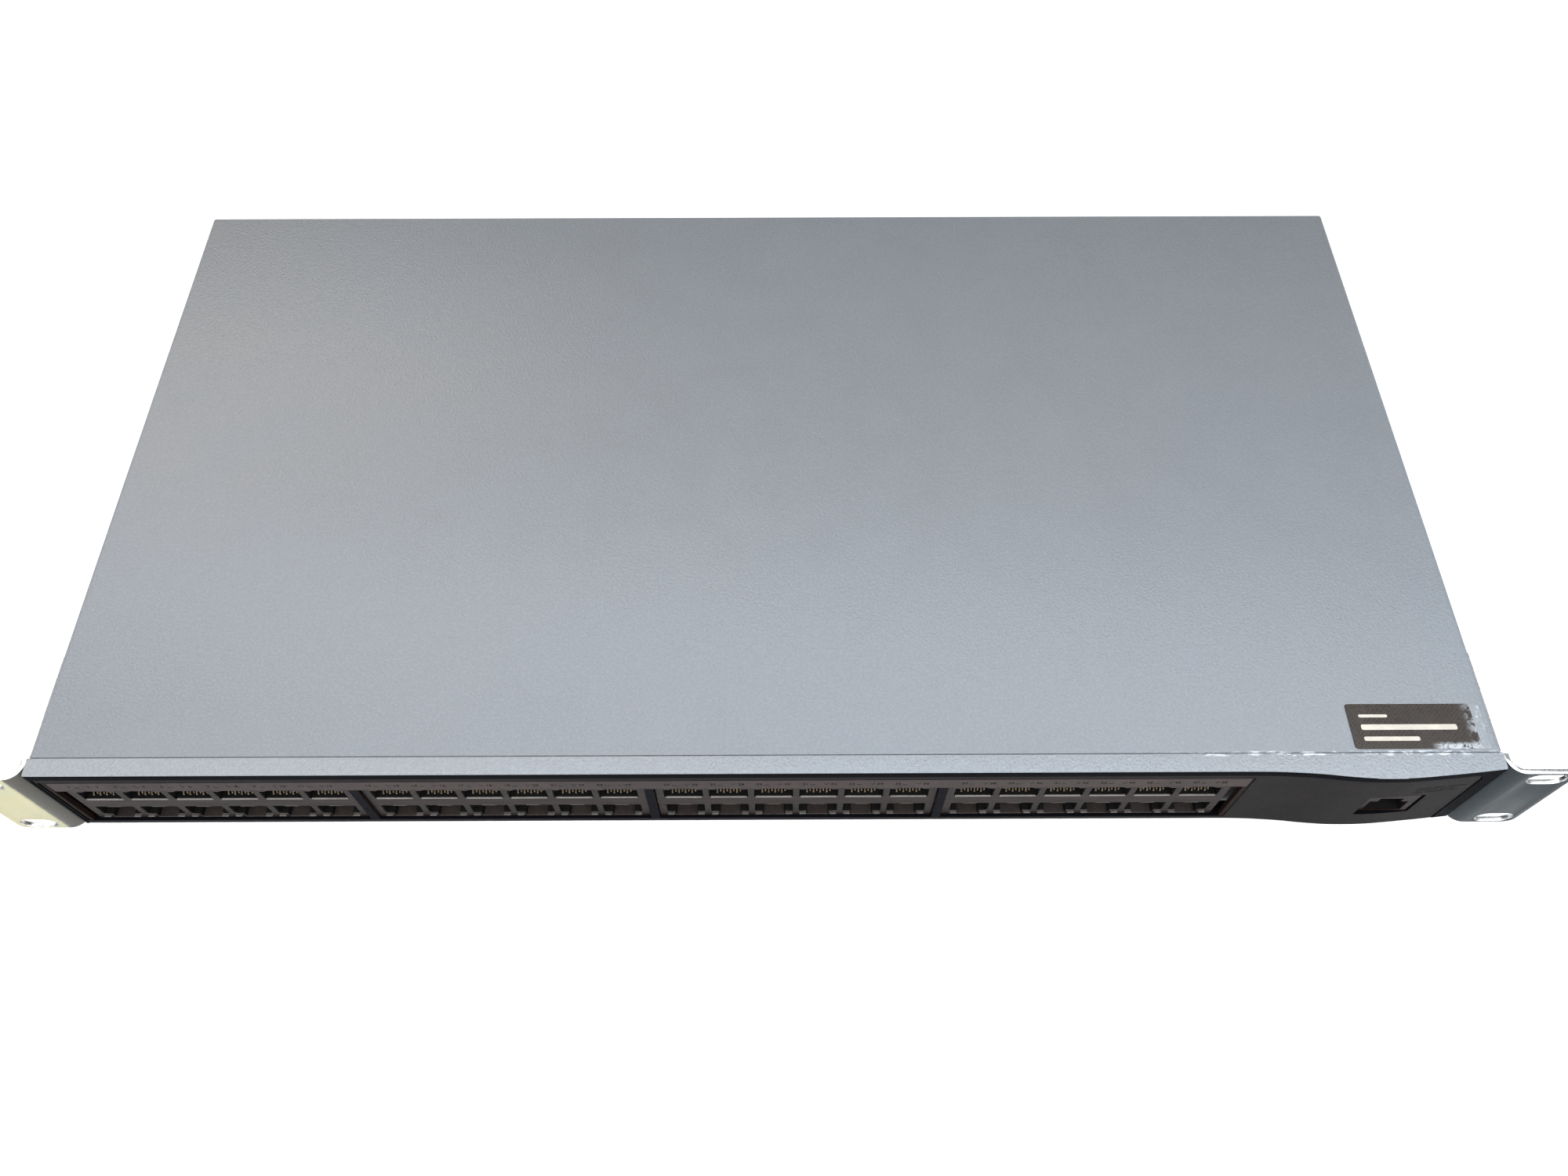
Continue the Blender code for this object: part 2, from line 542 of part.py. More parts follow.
for n, fy in enumerate(FAN_Y):
    cx = (FAN_X[0] + FAN_X[1]) / 2
    half = (FAN_X[1] - FAN_X[0]) / 2
    pivot = empty(f"fan_axis_{n + 1}", (cx, fy, FAN_Z))
    bm = new()   # cup-shaped hub, open towards the motor
    add_prism(bm, circle(0, 0, 9.0, 28), "x", -half + 3.0, half - 2.2)
    rotor = place(f"fan_rotor_{n + 1}", bm, BLACK, (0, 0, 0), parent=pivot)
    bm = new()
    add_prism(bm, circle(0, 0, 2.45, 12), "x", -half, half - 4.0)
    bore = helper(f"cut_rotor_bore_{n + 1}", bm, (cx, fy, FAN_Z))
    bm = new()
    add_prism(bm, circle(0, 0, 7.6, 24), "x", -half, -half + 7.0)
    cup = helper(f"cut_rotor_cup_{n + 1}", bm, (cx, fy, FAN_Z))
    blades = new()
    for k in range(7):
        steps = 3
        rings = []
        for s in range(steps + 1):
            r = 8.4 + (18.1 - 8.4) * s / steps
            twist = radians(48 - 16 * s / steps)
            base_a = 2 * pi * k / 7 + radians(8) * s / steps
            ring = []
            for u, v in ((-6.4, -0.45), (6.4, -0.45), (6.4, 0.45), (-6.4, 0.45)):
                along = u * cos(twist) - v * sin(twist)
                across = u * sin(twist) + v * cos(twist)
                a = base_a + across / r
                ring.append(blades.verts.new(Vector((along, r * cos(a), r * sin(a))) * MM))
            rings.append(ring)
        faces = [blades.faces.new(rings[0]), blades.faces.new(rings[-1])]
        for s in range(steps):
            for i in range(4):
                j = (i + 1) % 4
                faces.append(blades.faces.new((rings[s][i], rings[s][j], rings[s + 1][j], rings[s + 1][i])))
        bmesh.ops.recalc_face_normals(blades, faces=faces)
    fins = helper(f"add_rotor_blades_{n + 1}", blades, (cx, fy, FAN_Z))
    boolean(rotor, fins, "UNION")
    boolean(rotor, bore)
    boolean(rotor, cup)

# ---------------------------------------------------------------- rack ears
for side, name in ((-1, "rack_ear_left"), (1, "rack_ear_right")):
    x0 = 220.25
    plan = [(x0, 48.0), (x0, EAR_BEND - 1.0)]
    cx, cy = x0 + EAR_BEND, EAR_BEND - 1.0
    plan += [(cx - EAR_BEND * cos(a), cy - EAR_BEND * sin(a)) for a in (pi / 8, pi / 4, 3 * pi / 8, pi / 2)]
    plan += [(EAR_SPAN / 2, -1.0), (EAR_SPAN / 2, -1.0 + EAR_SHEET)]
    ri = EAR_BEND - EAR_SHEET
    plan += [(cx - ri * cos(a), cy - ri * sin(a)) for a in (pi / 2, 3 * pi / 8, pi / 4, pi / 8)]
    plan += [(x0 + EAR_SHEET, cy), (x0 + EAR_SHEET, 48.0)]
    if side < 0:
        plan = [(-x, y) for x, y in plan]
    bm = new()
    add_prism(bm, plan, "z", *EAR_Z)
    ear = place(name, bm, EARPAINT)
    bm = new()
    for z in SLOT_Z:
        add_prism(bm, slot_outline(side * SLOT_X, z, SLOT_LEN, SLOT_H, 6), "y", -8, 6)
    lo, hi = sorted((side * 215.0, side * 226.0))
    for sy, sz in EAR_SCREWS:
        add_prism(bm, circle(sy, sz, 2.2, 12), "x", lo, hi)
    # the side leaf is lower than the front leaf, with clipped back corners; the front leaf's outer corners are rounded
    leaf = [(5.0, 44.5), (52.0, 44.5), (52.0, 30.2), (42.0, 40.2), (8.0, 40.2), (5.0, 43.4)]
    for flip in (False, True):
        add_prism(bm, [(y, 45.8 - z) if flip else (y, z) for y, z in leaf], "x", lo, hi)
    for z, s in ((EAR_Z[0], 1), (EAR_Z[1], -1)):
        ex = side * EAR_SPAN / 2
        add_prism(bm, [(ex + side * 1, z - s * 1.0), (ex + side * 1, z + s * 2.8), (ex - side * 1.0, z + s * 0.85), (ex - side * 2.8, z - s * 1.0)], "y", -8, 6)
    boolean(ear, helper(f"cut_{name}", bm))


# ---------------------------------------------------------------- screws: pan head, cross recess
def screw_mesh(head_r, head_h, shank_r, shank_l, sides):
    """Along +X: the head from 0 to head_h, the shank from 0 to -shank_l."""
    rows = [(-shank_l, shank_r * 0.72), (-shank_l + 0.6, shank_r), (0.0, shank_r), (0.0, head_r), (head_h * 0.55, head_r), (head_h, head_r * 0.62)]
    b = bmesh.new()
    rings = []
    for x, r in rows:
        rings.append([b.verts.new(Vector((x, r * cos(2 * pi * i / sides), r * sin(2 * pi * i / sides))) * MM) for i in range(sides)])
    faces = [b.faces.new(rings[0]), b.faces.new(rings[-1])]
    for r0, r1 in zip(rings, rings[1:]):
        for i in range(sides):
            j = (i + 1) % sides
            faces.append(b.faces.new((r0[i], r0[j], r1[j], r1[i])))
    bmesh.ops.recalc_face_normals(b, faces=faces)
    m = bpy.data.meshes.new("screw")
    b.to_mesh(m)
    b.free()
    m.materials.append(SCREW)
    return m


def cross_mesh(head_r, head_h, depth):
    b = bmesh.new()
    w, l = head_r * 0.14, head_r * 0.5
    add_prism(b, [(-w, -l), (w, -l), (w, -w), (l, -w), (l, w), (w, w), (w, l), (-w, l), (-w, w), (-l, w), (-l, -w), (-w, -w)], "x", head_h - depth, head_h + 2)
    m = bpy.data.meshes.new("cross")
    b.to_mesh(m)
    b.free()
    return m


def put_screw(name, mesh, recess, at, turn):
    s = place(name, None, SCREW, at, mesh=mesh)
    s.rotation_euler = (0, 0, turn)
    c = place("cut_" + name, None, SCREW, at, mesh=recess)
    c.rotation_euler = (0, 0, turn)
    c.hide_render, c.display_type = True, "WIRE"
    boolean(s, c)
    return s


ear_screw = screw_mesh(3.9, 2.2, 1.9, 4.2, 16)
ear_cross = cross_mesh(3.9, 2.2, 1.3)
for side, word in ((-1, "left"), (1, "right")):
    for n, (sy, sz) in enumerate(EAR_SCREWS):
        put_screw(f"ear_screw_{word}_{n + 1}", ear_screw, ear_cross, (side * (220.25 + EAR_SHEET + 0.05), sy, sz), 0 if side > 0 else pi)
small_screw = screw_mesh(2.7, 1.3, 1.45, 3.2, 14)
small_cross = cross_mesh(2.7, 1.3, 0.8)
for side, word in ((-1, "left"), (1, "right")):
    for n, (sy, sz) in enumerate(COVER_SCREWS):
        put_screw(f"cover_screw_{word}_{n + 1}", small_screw, small_cross, (side * 220.05, sy, sz), 0 if side > 0 else pi)
put_screw("ground_screw", screw_mesh(4.2, 2.35, 1.9, 5.0, 18), cross_mesh(4.2, 2.35, 1.3), (-110.0, BACK + 0.05, 16.0), pi / 2)


# ---------------------------------------------------------------- inner leads, each held at both ends
def lead(name, points, diameter):
    """A round lead through these points (mm), read off a smooth Catmull-Rom curve."""
    pts = [Vector(p) for p in points]
    pts = [pts[0] * 2 - pts[1]] + pts + [pts[-1] * 2 - pts[-2]]
    dense = []
    for a, b, c, d in zip(pts, pts[1:], pts[2:], pts[3:]):
        n = max(2, int((c - b).length / (diameter * 2.2)))
        for i in range(n):
            t = i / n
            dense.append(0.5 * ((2 * b) + (c - a) * t + (2 * a - 5 * b + 4 * c - d) * t * t + (3 * b - a - 3 * c + d) * t ** 3))
    dense.append(pts[-2])
    curve = bpy.data.curves.new(name, "CURVE")
    curve.dimensions = "3D"
    curve.bevel_depth = diameter / 2 * MM
    curve.bevel_resolution = 2
    curve.use_fill_caps = True
    s = curve.splines.new("POLY")
    s.points.add(len(dense) - 1)
    for p, q in zip(s.points, dense):
        p.co = (*(q * MM), 1.0)
    curve.materials.append(WIRE)
    obj = bpy.data.objects.new(name, curve)
    bpy.context.scene.collection.objects.link(obj)
    obj.location = metres(0, 0, 0)
    return obj


lead("dc_harness", [(-107.0, 161.0, 16.4), (-107.0, 161.0, 22.0), (-103.0, 159.0, 26.0), (-94.0, 154.0, 26.0), (-86.0, 152.5, 23.0), (-82.0, 152.5, 19.0), (-82.0, 152.5, 15.4)], 4.0)
for n, fy in enumerate(FAN_Y):
    hy = 142.0 if n == 0 else 188.0
    lead(f"fan_lead_{n + 1}", [(196.0, fy - 14.0, 36.0), (192.0, fy - 13.5, 35.5), (188.6, (fy - 14.0 + hy) / 2, 30.0), (187.5, hy, 22.0), (187.5, hy, 13.0)], 2.0)

# ---------------------------------------------------------------- printed label at the cover's front right corner
bm = new()
add_box(bm, (176.2, 217.0), (6.8, 21.7), (HEIGHT + 0.05, HEIGHT + 0.20))
place("top_label", bm, LABEL)

for o in bpy.data.objects:
    if o.type == "MESH" and not o.hide_render and o.name not in ("main_pcb",):
        o.data.set_sharp_from_angle(angle=radians(35))
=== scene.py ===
import random
from math import atan2, cos, pi, radians, sin, sqrt

import bmesh
import bpy
from mathutils import Matrix, Vector


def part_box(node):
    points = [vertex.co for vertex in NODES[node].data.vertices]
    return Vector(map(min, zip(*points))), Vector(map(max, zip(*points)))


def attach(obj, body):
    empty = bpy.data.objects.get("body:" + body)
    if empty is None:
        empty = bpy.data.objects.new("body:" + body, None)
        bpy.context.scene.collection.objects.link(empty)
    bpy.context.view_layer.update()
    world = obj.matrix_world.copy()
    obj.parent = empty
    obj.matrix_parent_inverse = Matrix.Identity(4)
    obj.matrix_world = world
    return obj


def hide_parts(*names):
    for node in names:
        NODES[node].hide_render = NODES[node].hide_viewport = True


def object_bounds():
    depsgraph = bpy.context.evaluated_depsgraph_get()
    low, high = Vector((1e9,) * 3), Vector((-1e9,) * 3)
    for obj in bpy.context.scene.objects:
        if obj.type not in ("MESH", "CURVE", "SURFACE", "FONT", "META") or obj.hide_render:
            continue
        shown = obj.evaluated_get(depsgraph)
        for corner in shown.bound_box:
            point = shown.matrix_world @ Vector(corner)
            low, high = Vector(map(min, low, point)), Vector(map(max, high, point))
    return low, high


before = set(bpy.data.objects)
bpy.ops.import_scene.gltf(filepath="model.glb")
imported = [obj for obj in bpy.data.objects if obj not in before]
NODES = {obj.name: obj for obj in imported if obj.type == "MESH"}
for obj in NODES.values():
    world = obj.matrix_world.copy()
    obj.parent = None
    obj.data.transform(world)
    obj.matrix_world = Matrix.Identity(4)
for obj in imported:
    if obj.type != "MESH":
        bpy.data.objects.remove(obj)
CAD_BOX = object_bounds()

scene = bpy.context.scene
MM = 0.001
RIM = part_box("front_bezel")[0].y + 2.3 * MM        # the plane of the bezel's rim; the lengths below are mm from it
TO_M = Matrix.Translation((0, RIM, 0)) @ Matrix.Scale(MM, 4)
BODY = "chassis"
SEAM = 5.8
TOP = 43.6
BACK = 235.7
GROUP_X = [-171.3 + 90.2 * i for i in range(4)]
MIDDLES = [(a + b) / 2 for a, b in zip(GROUP_X, GROUP_X[1:])]
PITCH = 14.0
rng = random.Random(7)

# ================================================================ camera
cam_data = bpy.data.cameras.new("camera")
cam_data.lens, cam_data.sensor_width = 27.65, 36.0
cam = bpy.data.objects.new("camera", cam_data)
scene.collection.objects.link(cam)
cam.location = (0.004717, -0.254782, 0.376814)
cam.rotation_euler = (radians(31.076), radians(0.002), radians(-0.255))
cam_data.clip_start, cam_data.clip_end = 0.01, 50
scene.camera = cam
scene.view_settings.view_transform = "Standard"


# ================================================================ materials
class Nodes:
    """A short way to build one procedural material."""

    def __init__(self, name):
        self.mat = bpy.data.materials.new(name)
        self.mat.use_nodes = True
        self.tree = self.mat.node_tree
        self.shader = self.tree.nodes["Principled BSDF"]
        self.where = self.tree.nodes.new("ShaderNodeTexCoord").outputs["Object"]

    def link(self, a, b):
        self.tree.links.new(a, b)

    def new(self, kind, **settings):
        n = self.tree.nodes.new(kind)
        for k, v in settings.items():
            setattr(n, k, v)
        return n

    def put(self, socket, value):
        if isinstance(value, bpy.types.NodeSocket):
            self.link(value, socket)
        elif isinstance(value, (tuple, list)) and len(value) == 3 and socket.type == "RGBA":
            socket.default_value = (*value, 1.0)
        else:
            socket.default_value = value

    def stretch(self, scale, rotate=(0, 0, 0), shift=(0, 0, 0), source=None):
        n = self.new("ShaderNodeMapping")
        self.put(n.inputs["Vector"], source or self.where)
        n.inputs["Scale"].default_value = scale
        n.inputs["Rotation"].default_value = rotate
        n.inputs["Location"].default_value = shift
        return n.outputs["Vector"]

    def noise(self, scale, detail=2.0, rough=0.5, vector=None, distortion=0.0):
        n = self.new("ShaderNodeTexNoise")
        self.put(n.inputs["Vector"], vector or self.where)
        n.inputs["Scale"].default_value = scale
        n.inputs["Detail"].default_value = detail
        n.inputs["Roughness"].default_value = rough
        n.inputs["Distortion"].default_value = distortion
        return n.outputs["Fac"]

    def voronoi(self, scale, feature="F1", vector=None, out="Distance"):
        n = self.new("ShaderNodeTexVoronoi", feature=feature)
        self.put(n.inputs["Vector"], vector or self.where)
        n.inputs["Scale"].default_value = scale
        return n.outputs[out]

    def wave(self, scale, direction="X", vector=None, distortion=0.0, profile="SIN", kind="BANDS"):
        n = self.new("ShaderNodeTexWave", wave_type=kind, wave_profile=profile)
        if kind == "BANDS":
            n.bands_direction = direction
        self.put(n.inputs["Vector"], vector or self.where)
        n.inputs["Scale"].default_value = scale
        n.inputs["Distortion"].default_value = distortion
        return n.outputs["Fac"]

    def span(self, value, a, b, c=0.0, d=1.0, smooth=False):
        n = self.new("ShaderNodeMapRange")
        if smooth:
            n.interpolation_type = "SMOOTHSTEP"
        self.put(n.inputs["Value"], value)
        for k, v in zip(("From Min", "From Max", "To Min", "To Max"), (a, b, c, d)):
            n.inputs[k].default_value = v
        return n.outputs["Result"]

    def math(self, op, a, b=0.0, c=None):
        n = self.new("ShaderNodeMath", operation=op)
        self.put(n.inputs[0], a)
        self.put(n.inputs[1], b)
        if c is not None:
            self.put(n.inputs[2], c)
        return n.outputs[0]

    def mix(self, fac, a, b, blend="MIX"):
        n = self.new("ShaderNodeMix", data_type="RGBA", blend_type=blend)
        self.put(n.inputs[0], fac)
        self.put(n.inputs[6], a)
        self.put(n.inputs[7], b)
        return n.outputs[2]

    def axis(self, which, source=None):
        n = self.new("ShaderNodeSeparateXYZ")
        self.put(n.inputs[0], source or self.where)
        return n.outputs[which]

    def bump(self, height, distance, strength=1.0, under=None):
        n = self.new("ShaderNodeBump")
        self.put(n.inputs["Height"], height)
        n.inputs["Distance"].default_value = distance
        n.inputs["Strength"].default_value = strength
        if under is not None:
            self.put(n.inputs["Normal"], under)
        return n.outputs["Normal"]

    def window(self, axis, lo, hi, soft):
        """1 between lo and hi along an axis, 0 outside, with soft ends; metres."""
        p = self.axis(axis)
        return self.math("MULTIPLY", self.span(p, lo - soft, lo + soft, smooth=True), self.span(p, hi - soft, hi + soft, 1.0, 0.0, smooth=True))

    def finish(self, color, rough, metal=0.0, normal=None, **sockets):
        s = self.shader.inputs
        self.put(s["Base Color"], color)
        self.put(s["Roughness"], rough)
        s["Metallic"].default_value = metal
        if normal is not None:
            self.put(s["Normal"], normal)
        for k, v in sockets.items():
            s[k.replace("_", " ")].default_value = v
        return self.mat


def wx(x):
    return x * MM


def wy(y):
    return RIM + y * MM


def powder_coat(name, base, grain=0.00020, gloss=(0.28, 0.38), scuffs=False, flecks=0.0, spec=0.5):
    m = Nodes(name)
    big = m.noise(5.5, 3.0, 0.55)
    mid = m.noise(46.0, 3.0, 0.6)
    fine = m.noise(1150.0, 2.0, 0.55)
    cells = m.voronoi(1500.0, "SMOOTH_F1")
    dust = m.noise(3600.0, 1.0, 0.5)
    r, g, b = base
    tone = m.mix(m.span(big, 0.3, 0.7), (r * 1.035, g * 1.0, b * 0.97), (r * 0.97, g * 1.0, b * 1.03))
    tone = m.mix(m.span(mid, 0.35, 0.7, 0.0, 0.35), tone, (r * 1.1, g * 1.1, b * 1.1))
    tone = m.mix(m.span(fine, 0.42, 0.74, 0.0, 0.32), tone, (r * 1.45, g * 1.45, b * 1.45))
    tone = m.mix(m.span(dust, 0.60, 0.72, 0.0, 0.45), tone, (r * 1.6, g * 1.62, b * 1.64))
    rough = m.span(mid, 0.3, 0.7, gloss[0], gloss[1])
    height = m.math("ADD", m.math("MULTIPLY", fine, 0.75), m.math("MULTIPLY", cells, 0.5))
    if scuffs:
        # pale rubbed flecks along the front fold, mostly at its right end, and a few light scratches
        edge = m.window(1, wy(4.9), wy(6.35), 0.0004)
        along = m.window(0, wx(128), wx(216), 0.012)
        rubbed = m.math("MULTIPLY", m.math("MULTIPLY", edge, along), m.span(m.noise(520.0, 4.0, 0.75, m.stretch((0.45, 1.6, 1.0))), 0.50, 0.60, smooth=True))
        tone = m.mix(m.math("MULTIPLY", rubbed, 0.85), tone, (0.62, 0.66, 0.70))
    if flecks:
        spots = m.span(m.voronoi(260.0), 0.035, 0.02, 0.0, 1.0)
        keep = m.span(m.noise(70.0, 1.0), 0.62, 0.66)
        tone = m.mix(m.math("MULTIPLY", m.math("MULTIPLY", spots, keep), flecks), tone, (0.6, 0.62, 0.64))
    return m.finish(tone, rough, 0.0, m.bump(height, grain), IOR=1.5, Specular_IOR_Level=spec)


def moulded(name, base, rough=(0.42, 0.58), grain=0.00002, scale=1500.0, metal=0.0, wear=None, spec=0.3):
    m = Nodes(name)
    big, mid, fine = m.noise(14.0, 3.0), m.noise(160.0, 3.0, 0.6), m.noise(scale, 2.0)
    r, g, b = base
    tone = m.mix(m.span(big, 0.3, 0.7), (r * 0.86, g * 0.88, b * 0.92), (r * 1.14, g * 1.12, b * 1.08))
    tone = m.mix(m.span(mid, 0.45, 0.75, 0.0, 0.5), tone, (r * 1.5, g * 1.48, b * 1.44))
    if wear:
        spots = m.span(m.noise(420.0, 4.0, 0.75), 0.64, 0.70)
        tone = m.mix(m.math("MULTIPLY", spots, 0.55), tone, wear)
    return m.finish(tone, m.span(fine, 0.3, 0.7, *rough), metal, m.bump(fine, grain), IOR=1.47, Specular_IOR_Level=spec)


def sheet_metal(name, base, rough=(0.28, 0.42), brush=(1.0, 0.05, 1.0), tarnish=(0.25, 0.22, 0.18), metal=1.0, grain=0.000008, spec=0.4):
    m = Nodes(name)
    streaks = m.noise(900.0, 3.0, 0.6, m.stretch(brush))
    big = m.noise(60.0, 4.0, 0.6)
    r, g, b = base
    tone = m.mix(m.span(streaks, 0.3, 0.7), (r * 0.88, g * 0.88, b * 0.88), (min(r * 1.1, 1), min(g * 1.1, 1), min(b * 1.1, 1)))
    tone = m.mix(m.span(big, 0.5, 0.8, 0.0, 0.45), tone, tarnish)
    return m.finish(tone, m.span(streaks, 0.3, 0.7, *rough), metal, m.bump(streaks, grain), Specular_IOR_Level=spec)


POWDER = powder_coat("powder_coat_cover", (0.184, 0.196, 0.213), scuffs=True, flecks=0.5)
LIP = powder_coat("powder_coat_lip", (0.232, 0.246, 0.266), grain=0.00042, scuffs=True)
BASE = powder_coat("powder_coat_base", (0.120, 0.128, 0.138))
# near-black colour standing in for painted shade on the bezel's front-facing faces; the same shell's top faces take the
# pale lip paint
RIM_PAINTED_SHADE = moulded("bezel_rim_painted_shade", (0.0034, 0.0036, 0.0048), (0.5, 0.62), wear=(0.014, 0.015, 0.019), spec=0.008)
FACE = moulded("face_overlay_film", (0.0125, 0.0108, 0.0112), (0.42, 0.55), 0.00001, 2200.0, spec=0.02)
PANEL = moulded("port_panel_plastic", (0.0118, 0.0070, 0.0056), (0.45, 0.58), 0.00002, spec=0.02)
STRIP = moulded("label_strip_film", (0.047, 0.036, 0.0345), (0.38, 0.5), 0.000008, 2400.0, spec=0.03)
BARS = moulded("group_bar_plastic", (0.005, 0.005, 0.0075), (0.45, 0.6), spec=0.01)
PRINT = moulded("printed_marks", (0.0012, 0.0012, 0.0016), (0.5, 0.6), 0.000004, 3000.0, spec=0.01)
# near-black brown for the jack shields' plated steel: painted shade over the whole front, darker than the steel itself
SHIELD_PAINTED_SHADE = sheet_metal("jack_shield_plate_painted_shade", (0.019, 0.0125, 0.0105), (0.42, 0.55), (0.06, 1.0, 1.0), (0.011, 0.0072, 0.006), 0.55, spec=0.015)
# bright steel for real sheared edges; on the jacks' feet and folded lips it stands in as a painted highlight
EDGE_AND_HIGHLIGHT = sheet_metal("sheared_edge_and_painted_highlight", (0.36, 0.335, 0.315), (0.3, 0.42), (1.0, 1.0, 0.2), (0.15, 0.13, 0.12), 0.9)
SPRING = sheet_metal("spring_tab_steel", (0.105, 0.088, 0.082), (0.3, 0.42), (1.0, 1.0, 0.1), (0.06, 0.045, 0.04), 0.85, spec=0.1)
GOLD = sheet_metal("contact_gold", (0.34, 0.275, 0.19), (0.22, 0.34), (1.0, 0.1, 0.1), (0.4, 0.28, 0.12))
BLACK = moulded("black_nylon", (0.006, 0.0055, 0.0055), (0.45, 0.6), 0.00002, spec=0.12)
LED = moulded("unlit_light_pipe", (0.008, 0.008, 0.008), (0.2, 0.3), 0.000002, spec=0.1)
EAR = powder_coat("ear_paint", (0.031, 0.0365, 0.0395), 0.00003, (0.40, 0.5), flecks=0.25, spec=0.08)
BARE = sheet_metal("ear_cut_edge", (0.80, 0.80, 0.79), (0.22, 0.36), (1.0, 1.0, 0.15), (0.40, 0.39, 0.37))
ZINC = sheet_metal("screw_zinc", (0.62, 0.62, 0.60), (0.26, 0.40), (1.0, 0.3, 0.3), (0.34, 0.32, 0.28))
NICKEL = sheet_metal("nickel_pin", (0.70, 0.67, 0.62), (0.2, 0.3), (0.2, 1.0, 0.2), (0.4, 0.37, 0.32))
ALU = sheet_metal("anodised_aluminium", (0.055, 0.055, 0.06), (0.34, 0.46), (0.1, 1.0, 1.0), (0.03, 0.03, 0.03), 0.6)
CHIP = moulded("chip_epoxy", (0.020, 0.020, 0.022), (0.55, 0.7), 0.00001)
TAPE = moulded("transformer_tape", (0.62, 0.42, 0.06), (0.3, 0.45), 0.00001)
SLEEVE = moulded("capacitor_sleeve", (0.02, 0.035, 0.10), (0.22, 0.34), 0.000004)
FILM = moulded("insulating_film", (0.52, 0.53, 0.50), (0.25, 0.4), 0.000006)
WIRE = moulded("wire_jacket", (0.028, 0.028, 0.030), (0.4, 0.52), 0.00001)


def left_ear_paint():
    """Pale yellow-green on the front leaf, a painted reflection of bright surroundings, going over to darker painted
    shade towards the bend.
    """
    m = Nodes("ear_left_painted_reflection")
    big, mid, fine = m.noise(38.0, 3.0, 0.6), m.noise(210.0, 4.0, 0.7), m.noise(1200.0, 2.0)
    # pale yellow-green tones: painted reflection on the front leaf
    tone = m.mix(m.span(big, 0.35, 0.65), (0.47, 0.425, 0.255), (0.41, 0.43, 0.275))
    tone = m.mix(m.span(mid, 0.45, 0.8, 0.0, 0.2), tone, (0.43, 0.38, 0.25))
    x = m.math("ADD", m.axis(0), m.math("MULTIPLY", m.math("SUBTRACT", mid, 0.5), 0.0012))
    # painted shade: the colour goes darker towards the bend
    dark = m.span(x, wx(-226.6), wx(-225.2), smooth=True)
    tone = m.mix(dark, tone, (0.082, 0.077, 0.066))
    return m.finish(tone, m.span(fine, 0.3, 0.7, 0.36, 0.5), 0.0, m.bump(fine, 0.00002), Specular_IOR_Level=0.15)


EAR_LEFT_PAINTED_REFLECTION = left_ear_paint()


def board_material(name, mask, copper):
    m = Nodes(name)
    lanes = m.wave(170.0, "X", m.stretch((1, 1, 1)), 0.0, "SAW")
    tracks = m.math("MULTIPLY", m.span(lanes, 0.62, 0.66), m.span(m.noise(42.0, 1.0), 0.48, 0.52))
    lanes2 = m.wave(170.0, "Y", None, 0.0, "SAW")
    tracks2 = m.math("MULTIPLY", m.span(lanes2, 0.62, 0.66), m.span(m.noise(37.0, 1.0), 0.52, 0.56))
    both = m.math("MAXIMUM", tracks, tracks2)
    vias = m.span(m.voronoi(230.0), 0.16, 0.12)
    r, g, b = mask
    tone = m.mix(m.span(m.noise(20.0), 0.3, 0.7), (r * 0.9, g * 0.9, b * 0.9), (r * 1.1, g * 1.1, b * 1.1))
    tone = m.mix(both, tone, (r * 1.7, g * 1.6, b * 1.5))
    tone = m.mix(m.math("MULTIPLY", vias, 0.8), tone, copper)
    return m.finish(tone, m.span(m.noise(600.0), 0.3, 0.7, 0.25, 0.4), 0.0, m.bump(both, 0.00002))


BOARD = board_material("solder_mask", (0.012, 0.085, 0.040), (0.55, 0.50, 0.30))
PSU = board_material("psu_board", (0.26, 0.19, 0.06), (0.55, 0.42, 0.22))

CAD_LOOK = {
    "chassis_base": BASE, "main_pcb": BOARD, "psu_pcb": PSU, "psu_insulating_film": FILM, "psu_transformer": TAPE,
    "psu_bulk_capacitor": SLEEVE, "psu_heatsink": ALU, "asic_heatsink": ALU, "switch_asic": CHIP, "cpu_chip": CHIP,
    "memory_chip": CHIP, "dc_harness": WIRE, "console_jack": BLACK, "console_shield": SHIELD_PAINTED_SHADE, "ac_inlet": BLACK,
}
for n in NODES:
    look = CAD_LOOK.get(n)
    if look is None:
        for start, m in (("phy_chip", CHIP), ("fan_lead", WIRE), ("fan_frame", BLACK), ("fan_rotor", BLACK), ("jack_block", BLACK),
                         ("jack_shield", SHIELD_PAINTED_SHADE), ("light_pipe", LED), ("inlet_pin", NICKEL), ("cover_screw", ZINC), ("ear_screw", ZINC),
                         ("ground_screw", ZINC), ("rack_ear", EAR), ("top_label", PANEL), ("top_cover", POWDER), ("front_bezel", RIM_PAINTED_SHADE), ("port_panel", PANEL)):
            if n.startswith(start):
                look = m
    o = NODES[n]
    o.data.materials.clear()
    o.data.materials.append(look)


# ================================================================ mesh helpers, all in mm with Y counted from the bezel's rim
AXES = {"x": (1, 2, 0), "y": (0, 2, 1), "z": (0, 1, 2)}


def new():
    return bmesh.new()


def prism(bm, outline, axis, low, high):
    ia, ib, ic = AXES[axis]
    rings = []
    for level in (low, high):
        ring = []
        for a, b in outline:
            p = [0.0, 0.0, 0.0]
            p[ia], p[ib], p[ic] = a, b, level
            ring.append(bm.verts.new(p))
        rings.append(ring)
    faces = [bm.faces.new(rings[0]), bm.faces.new(rings[1])]
    n = len(outline)
    for i in range(n):
        faces.append(bm.faces.new((rings[0][i], rings[0][(i + 1) % n], rings[1][(i + 1) % n], rings[1][i])))
    bmesh.ops.recalc_face_normals(bm, faces=faces)
    return faces


def box(bm, x, y, z):
    return prism(bm, [(x[0], y[0]), (x[1], y[0]), (x[1], y[1]), (x[0], y[1])], "z", z[0], z[1])


